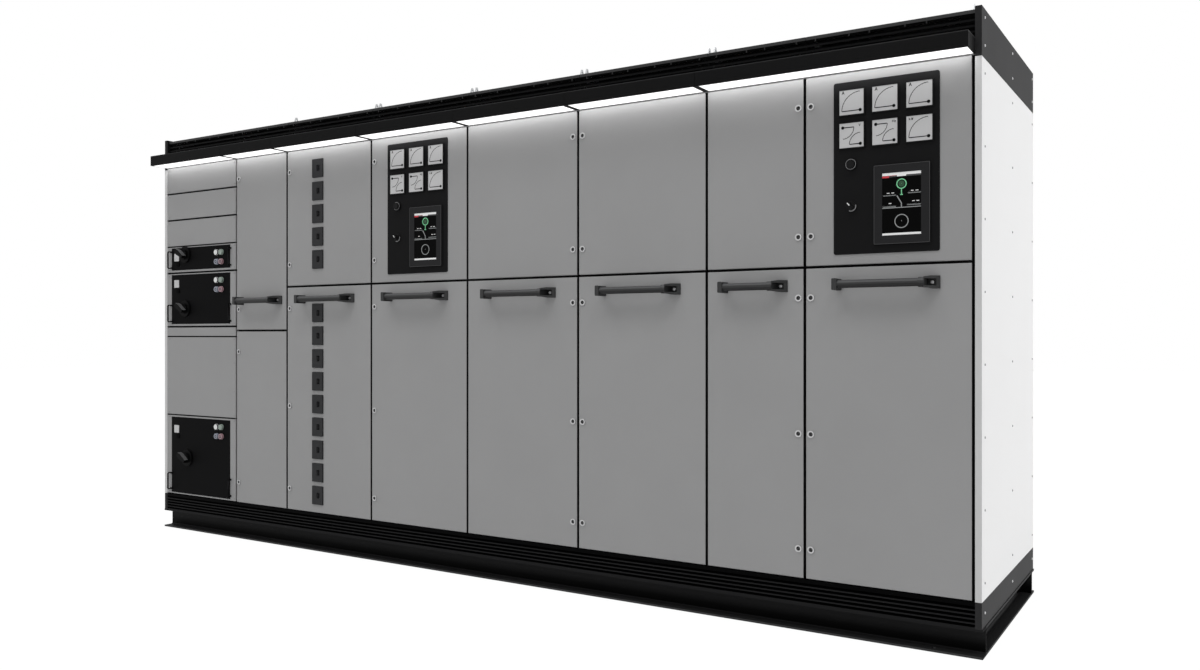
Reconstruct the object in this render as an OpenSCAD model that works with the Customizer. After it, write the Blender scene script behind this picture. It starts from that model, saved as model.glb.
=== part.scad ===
// Low-voltage switchgear row of eight columns.
// Millimetres. X runs along the row, Y from the doors to the rear, Z up from the floor.
// The origin is on the floor at the middle of the row's box.

/* [Row] */
// Width of a wide column
wide_w = 600; // [520:10:800]
// Width of a narrow column
narrow_w = 400; // [360:10:600]
// Height from the floor to the top of the end panels
body_h = 2200; // [2150:10:2700]
// Depth from the door faces to the rear covers
body_d = 1050; // [850:10:1300]
// Depth of the folded end panels
end_t = 25; // [20:1:40]
// Height of the floor channel
base_h = 100; // [60:5:160]
// Height of the louvred plinth above the floor channel
plinth_h = 90; // [70:5:130]
// Height of the fascia above the doors
fascia_h = 160; // [130:5:220]
// Thickness of folded sheet
sheet = 2; // [1.5:0.5:3]

/* [Floor channel] */
// Width of the channel flanges
flange_w = 50; // [40:2:80]
// Thickness of the channel flanges and web
channel_t = 8; // [5:1:12]
// Diameter of the floor anchor holes
anchor_d = 18; // [12:1:24]
// Distance from each end of the row to its anchor holes
anchor_inset = 165; // [100:5:300]
// Length of the pocket at the rear of each end channel
pocket_l = 45; // [20:5:120]

/* [Frame] */
// Width of a folded post, seen from the front
post_w = 50; // [40:2:70]
// Depth of a folded post
post_d = 50; // [40:2:80]
// Thickness of the frame sheet
post_t = 3; // [2:0.5:4]
// Distance from the door face to the front of the posts
post_set = 26; // [25:1:40]

/* [Doors] */
// Height of the lower door zone in a full column
lower_h = 1150; // [900:10:1300]
// Height of the lower door zone in column 2
short_lower_h = 925; // [600:5:1100]
// Gap between neighbouring leaves
door_gap = 10; // [9:0.5:16]
// Clearance above the sill and below the header
door_rise = 4; // [3:0.5:8]
// Depth of a folded leaf
leaf_t = 20; // [18:1:22]
// Radius of the fold along the front edges of a leaf
leaf_r = 3; // [1:0.5:5]
// Diameter of a hinge pin
hinge_d = 8; // [6:0.5:10]
// Radial clearance of a hinge pin in its knuckle
hinge_play = 0.05; // [0.02:0.01:0.1]
// Distance from a leaf's edge to its hinge axis
hinge_inset = 9; // [8:0.5:12]
// Depth of a hinge pin inside its leaf
hinge_grip = 16; // [10:1:24]
// Diameter of a lock collar
lock_d = 26; // [18:1:32]
// Distance from a leaf's edge to the centre of its locks
lock_inset = 19; // [16:1:30]

/* [Light hood] */
// Distance that the hood stands in front of the doors
hood_reach = 105; // [60:5:160]
// Height of the hood
hood_h = 54; // [40:2:80]
// Thickness of a light diffuser
diffuser_t = 4; // [3:0.5:8]

/* [Pull bars] */
// Diameter of a pull bar
bar_d = 29; // [20:1:36]
// Length of a pull bar on a wide door
bar_l = 365; // [240:5:420]
// Length of a pull bar on a narrow lower door
short_bar_l = 260; // [200:5:300]
// Length of the pull bar on the tall door of column 2
tall_bar_l = 320; // [200:5:320]
// Distance from a door face to the middle of a bar
bar_reach = 44; // [36:1:60]
// Width of a bar's plain end block
bracket_w = 18; // [14:1:30]
// Length of a bar's screwed end
screw_end_l = 62; // [50:1:80]
// Height of both ends where they meet the door
bracket_h = 44; // [36:1:60]

/* [Instrument panels] */
// Width of an instrument panel
panel_w = 374; // [330:1:420]
// Height of an instrument panel
panel_h = 620; // [560:5:660]
// Thickness of an instrument panel
panel_t = 3; // [2:0.5:6]
// Corner radius of an instrument panel
panel_r = 8; // [2:1:20]
// Side of a square meter bezel
meter_w = 96; // [72:1:104]
// Width of the display bezel
display_w = 194; // [150:2:204]
// Height of the display bezel
display_h = 278; // [200:2:290]
// Diameter of the round push-button
button_d = 30; // [22:1:38]
// Diameter of the selector knob
knob_d = 30; // [22:1:38]
// Travel of the push-button
button_travel = 4; // [2:0.5:6]

/* [Feeder breakers] */
// Width of a feeder breaker's nose
nose_w = 75; // [50:1:100]
// Height of a feeder breaker's nose
nose_h = 92; // [60:1:96]
// Pitch of the feeder breakers
nose_pitch = 115.2; // [100:0.1:140]
// Clearance round a nose in its door
nose_play = 1.5; // [1:0.5:4]
// Distance that a nose stands in front of its door
nose_proud = 6; // [3:1:12]

/* [Withdrawable units] */
// Heights of the three unit fronts, top to bottom
unit_h = [122, 274, 423]; // [100:1:430]
// Width of a unit front
unit_w = 507; // [440:1:520]
// Depth of a unit case behind its front
unit_d = 600; // [450:10:620]
// Clearance round a unit in its surround
unit_play = 2; // [1:0.5:4]
// Travel of a unit from its service position
unit_travel = 300; // [150:10:350]
// Diameter of a rotary handle's base
rotary_d = 90; // [70:2:104]

/* [Hidden] */

$fn = 48;
tiny = 0.01;
// Seam between pieces that are bolted or welded face to face.
seam = 0.2;

// Columns from left to right, and the X of their boundaries.
COLUMN_W = [wide_w, narrow_w, wide_w, wide_w, wide_w, wide_w, narrow_w, wide_w];
COLUMNS = len(COLUMN_W);
function sum_to(n) = n == 0 ? 0 : COLUMN_W[n - 1] + sum_to(n - 1);
row_w = sum_to(COLUMNS);
function edge_x(i) = sum_to(i) - row_w / 2;
function centre_x(c) = (edge_x(c - 1) + edge_x(c)) / 2;

// The door faces lie in this plane; y below counts backwards from it.
face_y = hood_reach / 2 - body_d / 2;
outer_x = row_w / 2 + end_t;
// The end panels and rear covers stay this far inside the base for their screw heads.
head_room = 3;
panel_x = outer_x - head_room;
cover_y = body_d - head_room;

// Heights of the door zones.
sill_z = base_h + plinth_h;
header_z = body_h - fascia_h;
function split_z(c) = sill_z + (c == 2 ? short_lower_h : lower_h);

// A leaf spans from x0 to x1 and from z0 to z1.
function leaf_x0(c) = edge_x(c - 1) + (c == 1 ? 1.5 : door_gap / 2);
function leaf_x1(c) = edge_x(c) - (c == COLUMNS ? door_gap : door_gap / 2);
function leaf_z0(c, upper) = upper ? split_z(c) + door_gap / 2 : sill_z + door_rise;
function leaf_z1(c, upper) = upper ? header_z - door_rise : split_z(c) - door_gap / 2;

// Columns 5 and 7 hang on their left edge, the others on their right edge.
function hung_left(c) = c == 5 || c == 7;
function hinge_x(c) = hung_left(c) ? leaf_x0(c) + hinge_inset : leaf_x1(c) - hinge_inset;
hinge_y = leaf_t / 2;
function lock_x(c) = hung_left(c) ? leaf_x1(c) - lock_inset : leaf_x0(c) + lock_inset;
knuckle_w = 2 * (hinge_inset - sheet);

// Frame.
roof_drop = 8;
roof_z = body_h - roof_drop;
roof_t = 2.5;
roof_lip = 12;
cover_t = 22;
rear_post_y = cover_y - cover_t - post_d;
post_top = roof_z - roof_t;
function post_x(i) = i == 0 ? edge_x(0) : i == COLUMNS ? edge_x(COLUMNS) - post_w : edge_x(i) - post_w / 2;
partition_y = post_set + post_d + 8;
grille_y = 13;

// Inner equipment: bars near the rear, shelves that stop before them, plates and breakers.
bus_y = body_d - 300;
bus_z0 = header_z - 310;
BUS_Z = [0, 90, 180, 270];
bar_thick = 10;
bar_high = 60;
shelf_y = bus_y - 90;
plate_3_y = 150;
plate_y = 380;
breaker_z = sill_z + 500;
breaker_h = 380;
breaker_d = 330;
breaker_pitch = 115;
breaker_back = partition_y + 60 + breaker_d;
drop_set = 45;
drop_z = breaker_z + breaker_h - 90;

// Rows of locks on a leaf: distances from its top or bottom edge.
lock_top_gap = 107;
lock_low_gap = 108;
short_lock_gap = 108;

// Pull bars sit this far below the top of a full lower door.
bar_drop = 62;
bar_z = split_z(3) - door_gap / 2 - bar_drop;
bar_shift = 4;

// Instrument panels sit near the middle of the upper doors of columns 4 and 8.
panel_shift = -2;
panel_drop = 35;
panel_top = leaf_z1(4, true) - panel_drop;
meter_pitch_x = 119.5;
meter_pitch_z = 118.5;
meter_drop = 75;
display_drop = 450.5;
display_side = 246;
switch_x = 65.5;
button_drop = 298;
knob_drop = 448;
recess = 14;

// Feeder breakers of column 3.
feeder_x = centre_x(3) - 69.5;
upper_noses = 5;
lower_noses = 9;
first_drop = 102;
upper_first_z = leaf_z1(3, true) - first_drop;
lower_first_z = leaf_z1(3, false) - first_drop - 30;
toggle_x = feeder_x + 6;
toggle_w = 14;
toggle_y = 12;
window_w = 20;
window_h = 28;

// Column 1: heights of its bays from the header down, the last blank takes the rest.
bay_blank = 150;
margin_low = [17, 17, 14];
margin_top = [10, 12, 14];
unit_bay_h = [for (n = [0 : 2]) unit_h[n] + margin_low[n] + margin_top[n]];
strip_h = 55;
bay_top = [header_z - 3 * bay_blank,
           header_z - 3 * bay_blank - unit_bay_h[0],
           sill_z + unit_bay_h[2]];
panel_gap = 5;
wide_gap = 10;
function unit_z0(n) = bay_top[n] - unit_bay_h[n] + margin_low[n];
unit_x = centre_x(1) - 4.5;
case_side = 10;
case_foot = 1.5;
case_w = unit_w - 2 * case_side;
runner_w = 10;
seat_play = 0.3;
front_t = 4;
rotary_x = [-129.5, -129.5, -109.5];
rotary_rise = 84;
light_x = [146.5, 184.5];
grip_y = 23;
grip_rise = [8, 8, 13];
grip_l = [100, 100, 97];

module at_face() { translate([0, face_y, 0]) children(); }

// A box from its lowest to its highest corner.
module span(a, b) { translate(a) cube(b - a); }

// A folded tray with its floor towards -Y, all four edges turned back by depth d.
module tray(x0, x1, z0, z1, d, t) {
    difference() {
        span([x0, 0, z0], [x1, d, z1]);
        span([x0 + t, t, z0 + t], [x1 - t, d + 1, z1 - t]);
    }
}

// Outline of a plate with round corners, from the middle.
module round_plate(w, h, r) {
    square([w - 2 * r, h], center = true);
    square([w, h - 2 * r], center = true);
    for (sx = [-1, 1], sz = [-1, 1])
        translate([sx * (w / 2 - r), sz * (h / 2 - r)]) circle(r);
}

// Stands a flat outline up, facing -Y, from y0 back to y0 + t.
module upright(y0, t) { translate([0, y0 + t, 0]) rotate([90, 0, 0]) linear_extrude(t) children(); }

// Half round or full round bar along Y.
module rod_y(x, z, y0, y1, d) { translate([x, y0, z]) rotate([-90, 0, 0]) cylinder(d = d, h = y1 - y0); }

// Cross-section of the floor channel: web to the inside, flanges to the outside.
module channel_profile() {
    square([flange_w + channel_t, channel_t]);
    translate([0, base_h - channel_t]) square([flange_w + channel_t, channel_t]);
    translate([flange_w, 0]) square([channel_t, base_h]);
    for (up = [0, 1])
        translate([flange_w, up ? base_h - channel_t : channel_t]) mirror([0, up])
            difference() {
                translate([-channel_t, 0]) square(channel_t);
                translate([-channel_t, channel_t]) circle(channel_t);
            }
}

// One length of the floor channel from x0 to x1, cut square, its outer edge along +X at y = 0.
module channel_side(x0, x1) {
    translate([x0, 0, 0]) rotate([90, 0, 90]) linear_extrude(x1 - x0) channel_profile();
}

module base_frame() {
    reach = flange_w + channel_t;
    color("#17181a") at_face() {
        difference() {
            channel_side(-outer_x, outer_x);
            for (s = [-1, 1])
                translate([s * (outer_x - anchor_inset), flange_w / 2, -1]) cylinder(d = anchor_d, h = channel_t + 2);
        }
        difference() {
            translate([0, body_d, 0]) rotate([0, 0, 180]) channel_side(-outer_x, outer_x);
            for (s = [-1, 1])
                translate([s * (outer_x - anchor_inset), body_d - flange_w / 2, -1])
                    cylinder(d = anchor_d, h = channel_t + 2);
        }
        for (s = [0, 1]) mirror([s, 0, 0]) translate([outer_x, 0, 0]) rotate([0, 0, 90]) {
            // The end channels butt against the long ones. The web stops short of the rear one and leaves a pocket.
            end = body_d - reach - seam;
            channel_side(reach + seam, end - pocket_l);
            for (z = [0, base_h - channel_t])
                translate([end - pocket_l + seam, 0, z]) cube([pocket_l - seam, flange_w - seam, channel_t]);
        }
        // Cross members carry the column joints.
        for (i = [1 : COLUMNS - 1])
            span([edge_x(i) - post_w / 2, reach + seam, base_h - 50],
                 [edge_x(i) + post_w / 2, body_d - reach - seam, base_h]);
    }
}

// A louvred strip: top band, end and mid uprights, and slanted blades with a front lip.
module louvres(z0, z1, band, depth, count) {
    pitch = (z1 - band - z0) / count;
    lip = pitch * 0.35;
    x0 = -row_w / 2;
    x1 = row_w / 2;
    span([x0, 0, z1 - band], [x1, sheet, z1]);
    span([x0, 0, z1 - sheet], [x1, depth, z1]);
    for (i = [0 : COLUMNS])
        span([max(x0, edge_x(i) - 4), depth - 6, z0], [min(x1, edge_x(i) + 4), depth, z1 - tiny]);
    for (k = [0 : count - 1])
        translate([x0, 0, z0 + k * pitch]) rotate([90, 0, 90]) linear_extrude(x1 - x0)
            polygon([[0, 0], [2, 0], [depth - 4, pitch * 0.7], [depth - 4, pitch * 0.7 + 1.5],
                     [2, lip], [0, lip]]);
}

module plinth_grille() {
    color("#1c1d1f") at_face() louvres(base_h, sill_z, 14, post_set - 2, 5);
}

module top_grille() {
    color("#141516") at_face() translate([0, grille_y, 0])
        louvres(header_z + hood_h, post_top, 16, post_set - grille_y - 1, 4);
}

// Folded C post with turned lips, open towards the inside of the row's depth.
module post(h) {
    linear_extrude(h) difference() {
        square([post_w, post_d]);
        translate([post_t, post_t]) square([post_w - 2 * post_t, post_d - 2 * post_t]);
        translate([post_w / 3, post_d / 2]) square([post_w / 3, post_d]);
    }
}

module frame_posts() {
    h = post_top - base_h;
    color("#c3c5c6") at_face() for (i = [0 : COLUMNS]) {
        translate([post_x(i), post_set, base_h]) post(h);
        translate([post_x(i), rear_post_y + post_d, base_h]) mirror([0, 1, 0]) post(h);
    }
}

// A rail between the posts of column c: an open channel with its web to the front.
module bay_rail(c, y0, z0, h, d) {
    x0 = post_x(c - 1) + post_w;
    x1 = post_x(c);
    difference() {
        span([x0, y0, z0], [x1, y0 + d, z0 + h]);
        span([x0 - 1, y0 + post_t, z0 + post_t], [x1 + 1, y0 + d + 1, z0 + h - post_t]);
    }
}

module frame_rails() {
    rail_h = 40;
    color("#c3c5c6") at_face() {
        // Header behind the hood: it closes the top of the door zone and holds the upper hinge pins.
        span([-row_w / 2, 0.5, header_z], [row_w / 2, post_set - seam, header_z + hood_h - 0.5]);
        for (c = [1 : COLUMNS]) {
            bay_rail(c, post_set, base_h, rail_h, post_d);
            bay_rail(c, post_set, header_z, rail_h, post_d);
            bay_rail(c, rear_post_y + post_d - 30, base_h, rail_h, 30);
            bay_rail(c, rear_post_y + post_d - 30, header_z, rail_h, 30);
        }
        for (c = [2 : COLUMNS]) bay_rail(c, post_set, split_z(c) - rail_h / 2, rail_h, 30);
        // Depth rails tie each front post to its rear post at the top.
        for (i = [0 : COLUMNS])
            span([post_x(i) + 5, post_set + post_d, post_top - rail_h], [post_x(i) + post_w - 5, rear_post_y, post_top]);
    }
}

module partition_walls() {
    color("#b9bcbe") at_face() for (i = [1 : COLUMNS - 1])
        difference() {
            span([edge_x(i) - sheet / 2, partition_y, base_h],
                 [edge_x(i) + sheet / 2, rear_post_y - 8, post_top - 45]);
            // Window for the bars.
            span([edge_x(i) - 5, bus_y - 60, bus_z0 - 20], [edge_x(i) + 5, bus_y + 60, bus_z0 + BUS_Z[3] + bar_high + 20]);
        }
}

// Shelf of column c with turned-down front edge, seated between its walls.
module shelf(c, z, y1) {
    x0 = c == 1 ? edge_x(0) : edge_x(c - 1) + sheet / 2;
    x1 = c == COLUMNS ? edge_x(c) : edge_x(c) - sheet / 2;
    span([x0, partition_y, z - sheet], [x1, y1, z]);
    span([x0, partition_y, z - 25], [x1, partition_y + sheet, z - sheet + tiny]);
}

// Runner channels for a withdrawable unit: an upright guide on each side of the case.
module unit_guides(n) {
    z = unit_z0(n) - case_foot;
    for (s = [-1, 1]) {
        x = unit_x + s * (case_w / 2 + seat_play);
        span([min(x, x + s * 4), partition_y, z - tiny], [max(x, x + s * 4), unit_d, z + 40]);
    }
}

module compartment_shelves() {
    color("#c3c5c6") at_face() {
        for (n = [0 : 2]) {
            shelf(1, unit_z0(n) - case_foot, shelf_y);
            unit_guides(n);
        }
        for (c = [2 : COLUMNS]) shelf(c, split_z(c), shelf_y);
        for (c = [4, 8]) shelf(c, breaker_z, shelf_y);
    }
}

// Mounting plate of a column between z0 and z1, with returned side edges.
module mounting_plate(c, y, z0, z1) {
    x0 = edge_x(c - 1) + sheet / 2;
    x1 = edge_x(c) - (c == COLUMNS ? 0 : sheet / 2);
    span([x0, y, z0], [x1, y + sheet, z1]);
    for (x = [x0, x1 - 15]) span([x, y + sheet - tiny, z0], [x + 15, y + 18, z1]);
}

module mounting_plates() {
    z_low = sill_z + 40;
    color("#d8dadb") at_face() {
        for (up = [true, false])
            mounting_plate(3, plate_3_y, up ? split_z(3) + 15 : z_low, up ? header_z - 20 : split_z(3) - 40);
        for (c = [4 : 8]) mounting_plate(c, plate_y, split_z(c) + 15, header_z - 20);
        for (c = [5, 6]) mounting_plate(c, plate_y, z_low, split_z(c) - 40);
        // Cable clamp rails of the two narrow columns.
        for (c = [2, 7], k = [0 : 3])
            span([edge_x(c - 1) + sheet / 2, plate_y + 60, sill_z + 130 + k * 170],
                 [edge_x(c) - sheet / 2, plate_y + 90, sill_z + 160 + k * 170]);
    }
}

// An end panel or fascia: a pan folded towards the row, its front return beside the doors.
module end_pan(s, z0, z1) {
    t = sheet;
    mirror([s < 0 ? 1 : 0, 0, 0]) difference() {
        span([row_w / 2, 0, z0], [panel_x, cover_y, z1]);
        span([row_w / 2 - 1, t, z0 + t], [panel_x - t, cover_y - t, z1 - t]);
    }
}

module side_panel(s) { color("#f2f3f3") at_face() end_pan(s, sill_z + 1, header_z - 10); }
module side_panel_left() side_panel(-1);
module side_panel_right() side_panel(1);

module side_fascias() {
    color("#4a4b4d") at_face() for (s = [-1, 1]) {
        end_pan(s, base_h, sill_z);
        end_pan(s, header_z - 9, body_h);
    }
}

module roof_plates() {
    y1 = body_d;
    color("#2a2b2d") at_face() for (c = [1 : COLUMNS]) {
        x0 = edge_x(c - 1) + 1;
        x1 = edge_x(c) - 1;
        span([x0, grille_y - sheet, roof_z - roof_t], [x1, y1, roof_z]);
        span([x0, grille_y - sheet, roof_z - roof_lip], [x1, grille_y - 0.3, roof_z - roof_t + tiny]);
        span([x0, y1 - sheet, roof_z - roof_lip], [x1, y1, roof_z - roof_t + tiny]);
        // Stiffening swage across the plate.
        span([x0 + 80, body_d * 0.3, roof_z - tiny], [x1 - 80, body_d * 0.7, roof_z + 4]);
    }
}

// Folded hoods: open below, with end cheeks, a front lip and the fixing flange at the back.
HOOD_EDGES = [0, 1, 2, 3, 4, 5, 6, 8];
hood_gap = 1.2;
cheek = 5;
function hood_x0(k) = edge_x(HOOD_EDGES[k]) + (k == 0 ? 0 : hood_gap / 2);
function hood_x1(k) = edge_x(HOOD_EDGES[k + 1]) - (k == len(HOOD_EDGES) - 2 ? 0 : hood_gap / 2);

module light_hood() {
    t = sheet;
    color("#151617") at_face() for (k = [0 : len(HOOD_EDGES) - 2]) {
        x0 = hood_x0(k);
        x1 = hood_x1(k);
        rotate([90, 0, 90]) translate([0, 0, x0]) linear_extrude(x1 - x0)
            polygon([[0, header_z], [0, header_z + hood_h], [-hood_reach, header_z + hood_h],
                     [-hood_reach, header_z], [-hood_reach + 12, header_z], [-hood_reach + 12, header_z + t],
                     [-hood_reach + t, header_z + t], [-hood_reach + t, header_z + hood_h - t],
                     [-t, header_z + hood_h - t], [-t, header_z]]);
        for (x = [x0, x1 - cheek])
            span([x, -hood_reach + t - tiny, header_z], [x + cheek, -t + tiny, header_z + hood_h - t + tiny]);
    }
}

module light_diffusers() {
    play = 0.3;
    color("#ffffff") at_face() for (k = [0 : len(HOOD_EDGES) - 2])
        span([hood_x0(k) + cheek + play, -hood_reach + 12 + play, header_z + 0.5],
             [hood_x1(k) - cheek - play, -sheet - play, header_z + 0.5 + diffuser_t]);
}

// Lifting eyes: a foot plate and a pointed ear with a hole, in pairs where two columns can be parted.
EYE_EDGES = [2, 3, 4, 5, 6, 8];
ear_h = 30;
ear_w = 26;
ear_t = 5;
ear_hole = 10;
ear_spread = 26;
ear_y = post_set + post_d / 2;
module lifting_eyes() {
    foot = 3;
    color("#9b9ea1") at_face() for (i = EYE_EDGES, y = [ear_y, rear_post_y + post_d / 2])
        for (s = i == 2 ? [1] : i == COLUMNS ? [-1] : [-1, 1])
            translate([edge_x(i) + s * ear_spread / 2, y, roof_z]) {
                translate([-8, -ear_w / 2, 0]) cube([16, ear_w, foot]);
                translate([-ear_t / 2, 0, 0]) rotate([90, 0, 90]) linear_extrude(ear_t) difference() {
                    polygon([[-ear_w / 2, 0], [ear_w / 2, 0], [ear_w / 2, 8], [5, ear_h], [-5, ear_h], [-ear_w / 2, 8]]);
                    translate([0, ear_h / 2]) circle(d = ear_hole);
                }
            }
}

module rear_covers() {
    slot_n = 7;
    z0 = base_h + 3;
    z1 = roof_z - roof_lip - 2;
    color("#8f9193") at_face() for (c = [1 : COLUMNS]) {
        x0 = edge_x(c - 1) + 1.5;
        x1 = edge_x(c) - 1.5;
        difference() {
            translate([0, cover_y, 0]) mirror([0, 1, 0]) tray(x0, x1, z0, z1, cover_t, sheet);
            for (k = [0 : slot_n - 1], z = [z0 + 90, z1 - 90 - slot_n * 12])
                span([x0 + 70, cover_y - sheet - 1, z + k * 12], [x1 - 70, cover_y + 1, z + k * 12 + 5]);
        }
    }
}

module gland_plates() {
    color("#c9cbcc") at_face() for (c = [1 : COLUMNS])
        span([edge_x(c - 1) + 10, post_set + post_d + 4, base_h], [edge_x(c) - 10, rear_post_y - 4, base_h + sheet]);
}

// Surround of a withdrawable unit: a folded panel with a cut-out for the front.
module surround(n) {
    z0 = bay_top[n] - unit_bay_h[n] + (n == 2 ? panel_gap / 2 + door_rise : wide_gap / 2);
    difference() {
        tray(leaf_x0(1), leaf_x1(1), z0, bay_top[n] - (n == 1 ? wide_gap : panel_gap) / 2, leaf_t, sheet);
        span([unit_x - unit_w / 2 - unit_play, -1, unit_z0(n) - unit_play],
             [unit_x + unit_w / 2 + unit_play, leaf_t, unit_z0(n) + unit_h[n] + unit_play]);
    }
}

module column_1_panels() {
    x0 = leaf_x0(1);
    x1 = leaf_x1(1);
    half = panel_gap / 2;
    low = bay_top[1] - unit_bay_h[1];
    color("#8b8c8e") at_face() {
        for (k = [0 : 2]) {
            top = header_z - k * bay_blank;
            tray(x0, x1, top - bay_blank + (k < 2 ? wide_gap / 2 : half), top - (k == 0 ? door_rise : wide_gap / 2),
                 leaf_t, sheet);
        }
        tray(x0, x1, low - strip_h + half, low - wide_gap / 2, leaf_t, sheet);
        tray(x0, x1, bay_top[2] + half, low - strip_h - half, leaf_t, sheet);
        for (n = [0 : 2]) surround(n);
        // Spacers seat the panels on the posts.
        for (i = [0, 1])
            span([i == 0 ? post_x(0) + post_w - 12 : post_x(1), leaf_t + seam, sill_z + 5],
                 [i == 0 ? post_x(0) + post_w - 4 : post_x(1) + 8, post_set, header_z - 5]);
    }
}

module main_busbars() {
    color("#b87333") at_face() {
        for (z = BUS_Z)
            span([-row_w / 2 + 30, bus_y, bus_z0 + z], [row_w / 2 - 30, bus_y + bar_thick, bus_z0 + z + bar_high]);
        // Droppers to the two power breakers: each clears the bars below its own.
        for (c = [4, 8], k = [0 : 2])
            translate([centre_x(c) + (k - 1) * breaker_pitch - 30, bus_y - seam, 0]) {
                span([0, -drop_set, drop_z], [60, -drop_set + bar_thick, bus_z0 + BUS_Z[k] + bar_high]);
                span([0, -drop_set, bus_z0 + BUS_Z[k]], [60, 0, bus_z0 + BUS_Z[k] + bar_high]);
                span([0, breaker_back + seam - bus_y + seam, drop_z], [60, -drop_set + bar_thick, drop_z + bar_thick]);
            }
    }
}

// Comb supports: slotted blocks that carry the bars beside each wall.
module busbar_supports() {
    color("#8a2f28") at_face() for (i = [0 : COLUMNS - 1]) {
        x = edge_x(i) + (i == 0 ? 60 : 30);
        difference() {
            span([x, bus_y - 4, bus_z0 - 30], [x + 24, bus_y + 40, bus_z0 + BUS_Z[3] + bar_high + 25]);
            for (z = BUS_Z)
                span([x - 1, bus_y - 5, bus_z0 + z - 0.3], [x + 25, bus_y + bar_thick + 0.3, bus_z0 + z + bar_high + 0.3]);
        }
        // Cross beam that the comb is bolted to.
        span([x, bus_y + 40, bus_z0 - 30], [x + 24, rear_post_y + 4, bus_z0 + 10]);
    }
}

module power_breakers() {
    w = 360;
    h = breaker_h;
    d = breaker_d;
    color("#3a3c3f") at_face() for (c = [4, 8]) translate([centre_x(c), partition_y + 60, breaker_z]) {
        difference() {
            span([-w / 2, 0, 12], [w / 2, d, h]);
            span([-w / 2 + 30, -1, 60], [w / 2 - 30, 14, h - 60]);
        }
        // Front shield with its window, and the cradle's feet.
        span([-w / 2 + 60, 4, 100], [w / 2 - 60, 14 + tiny, h - 120]);
        for (s = [-1, 1]) span([s * (w / 2 - 25) - 15, 20, 0], [s * (w / 2 - 25) + 15, d - 20, 12 + tiny]);
    }
}

// The face of a feeder breaker at height z: nose through the door and case on the plate.
module feeder(z) {
    difference() {
        span([feeder_x - nose_w / 2, -nose_proud, z - nose_h / 2], [feeder_x + nose_w / 2, 60, z + nose_h / 2]);
        span([toggle_x - window_w / 2, -nose_proud - 1, z - window_h / 2],
             [toggle_x + window_w / 2, toggle_y + 12, z + window_h / 2]);
    }
    span([feeder_x - nose_w / 2 - 8, 60 - tiny, z - nose_pitch / 2 + 3],
         [feeder_x + nose_w / 2 + 8, plate_3_y, z + nose_pitch / 2 - 3]);
}

module feeder_breakers() {
    color("#323436") at_face() {
        for (k = [0 : upper_noses - 1]) feeder(upper_first_z - k * nose_pitch);
        for (k = [0 : lower_noses - 1]) feeder(lower_first_z - k * nose_pitch);
    }
}

// One toggle: a round hub between the window's ends and a tapered lever that stands out.
module toggle(z) {
    hub_h = window_h - 2 * seat_play;
    lever_h = 20;
    translate([toggle_x, toggle_y, z]) {
        translate([0, 0, -hub_h / 2]) cylinder(d = toggle_w, h = hub_h);
        translate([0, 0, -lever_h / 2]) linear_extrude(lever_h)
            polygon([[-6, 0], [6, 0], [3, -toggle_y - nose_proud - 0.5], [-3, -toggle_y - nose_proud - 0.5]]);
    }
}

module feeder_toggles(first, count) {
    color("#1f2021") at_face() for (k = [0 : count - 1]) toggle(first - k * nose_pitch);
}
module feeder_toggles_upper() feeder_toggles(upper_first_z, upper_noses);
module feeder_toggles_lower() feeder_toggles(lower_first_z, lower_noses);

// Hinge pins: the outer ones stand on the plinth and hang from the header, the middle ones share a bracket.
module hinge_pins() {
    color("#8d9194") at_face() for (c = [2 : COLUMNS]) translate([hinge_x(c), hinge_y, 0]) {
        translate([0, 0, sill_z]) cylinder(d = hinge_d, h = door_rise + hinge_grip);
        translate([0, 0, header_z - door_rise - hinge_grip]) cylinder(d = hinge_d, h = door_rise + hinge_grip);
        translate([0, 0, split_z(c) - door_gap / 2 - hinge_grip]) cylinder(d = hinge_d, h = door_gap + 2 * hinge_grip);
        span([-hinge_d, -hinge_d / 2 - 1, split_z(c) - 2], [hinge_d, post_set - hinge_y, split_z(c) + 2]);
    }
}

// Front outline of a leaf with folded edges: two extrusions crossed, so all four front edges are round.
module leaf_block(x0, x1, z0, z1) {
    intersection() {
        translate([0, 0, z0]) linear_extrude(z1 - z0) difference() {
            translate([x0, 0]) square([x1 - x0, leaf_t]);
            for (s = [0, 1]) translate([s ? x1 : x0, 0]) mirror([s, 0]) fold_corner();
        }
        rotate([90, 0, 90]) translate([0, 0, x0]) linear_extrude(x1 - x0) difference() {
            translate([0, z0]) square([leaf_t, z1 - z0]);
            for (s = [0, 1]) translate([0, s ? z1 : z0]) mirror([0, s]) fold_corner();
        }
    }
}

// What the fold takes off a square corner at the origin.
module fold_corner() {
    difference() {
        translate([-1, -1]) square(leaf_r + 1);
        translate([leaf_r, leaf_r]) circle(leaf_r);
    }
}

// A quarter-turn lock: collar with a recess and a two-winged driver inside it.
module lock(x, z) {
    proud = 4;
    difference() {
        rod_y(x, z, -proud, 0, lock_d);
        rod_y(x, z, -proud - 1, -0.8, lock_d * 0.62);
    }
    rod_y(x, z, -2.6, -0.8 + tiny, 7);
    span([x - 7, -2.6, z - 1.2], [x + 7, -0.8 + tiny, z + 1.2]);
}

// Heights of the locks on a leaf.
function lock_rows(c, upper) =
    let (z0 = leaf_z0(c, upper), z1 = leaf_z1(c, upper))
    c == 2 ? [z0 + short_lock_gap, z1 - short_lock_gap]
           : upper ? [z0 + lock_low_gap, z1 - lock_top_gap]
                   : [z0 + lock_low_gap, (z0 + z1) / 2 - 38, z1 - lock_top_gap];

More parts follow.
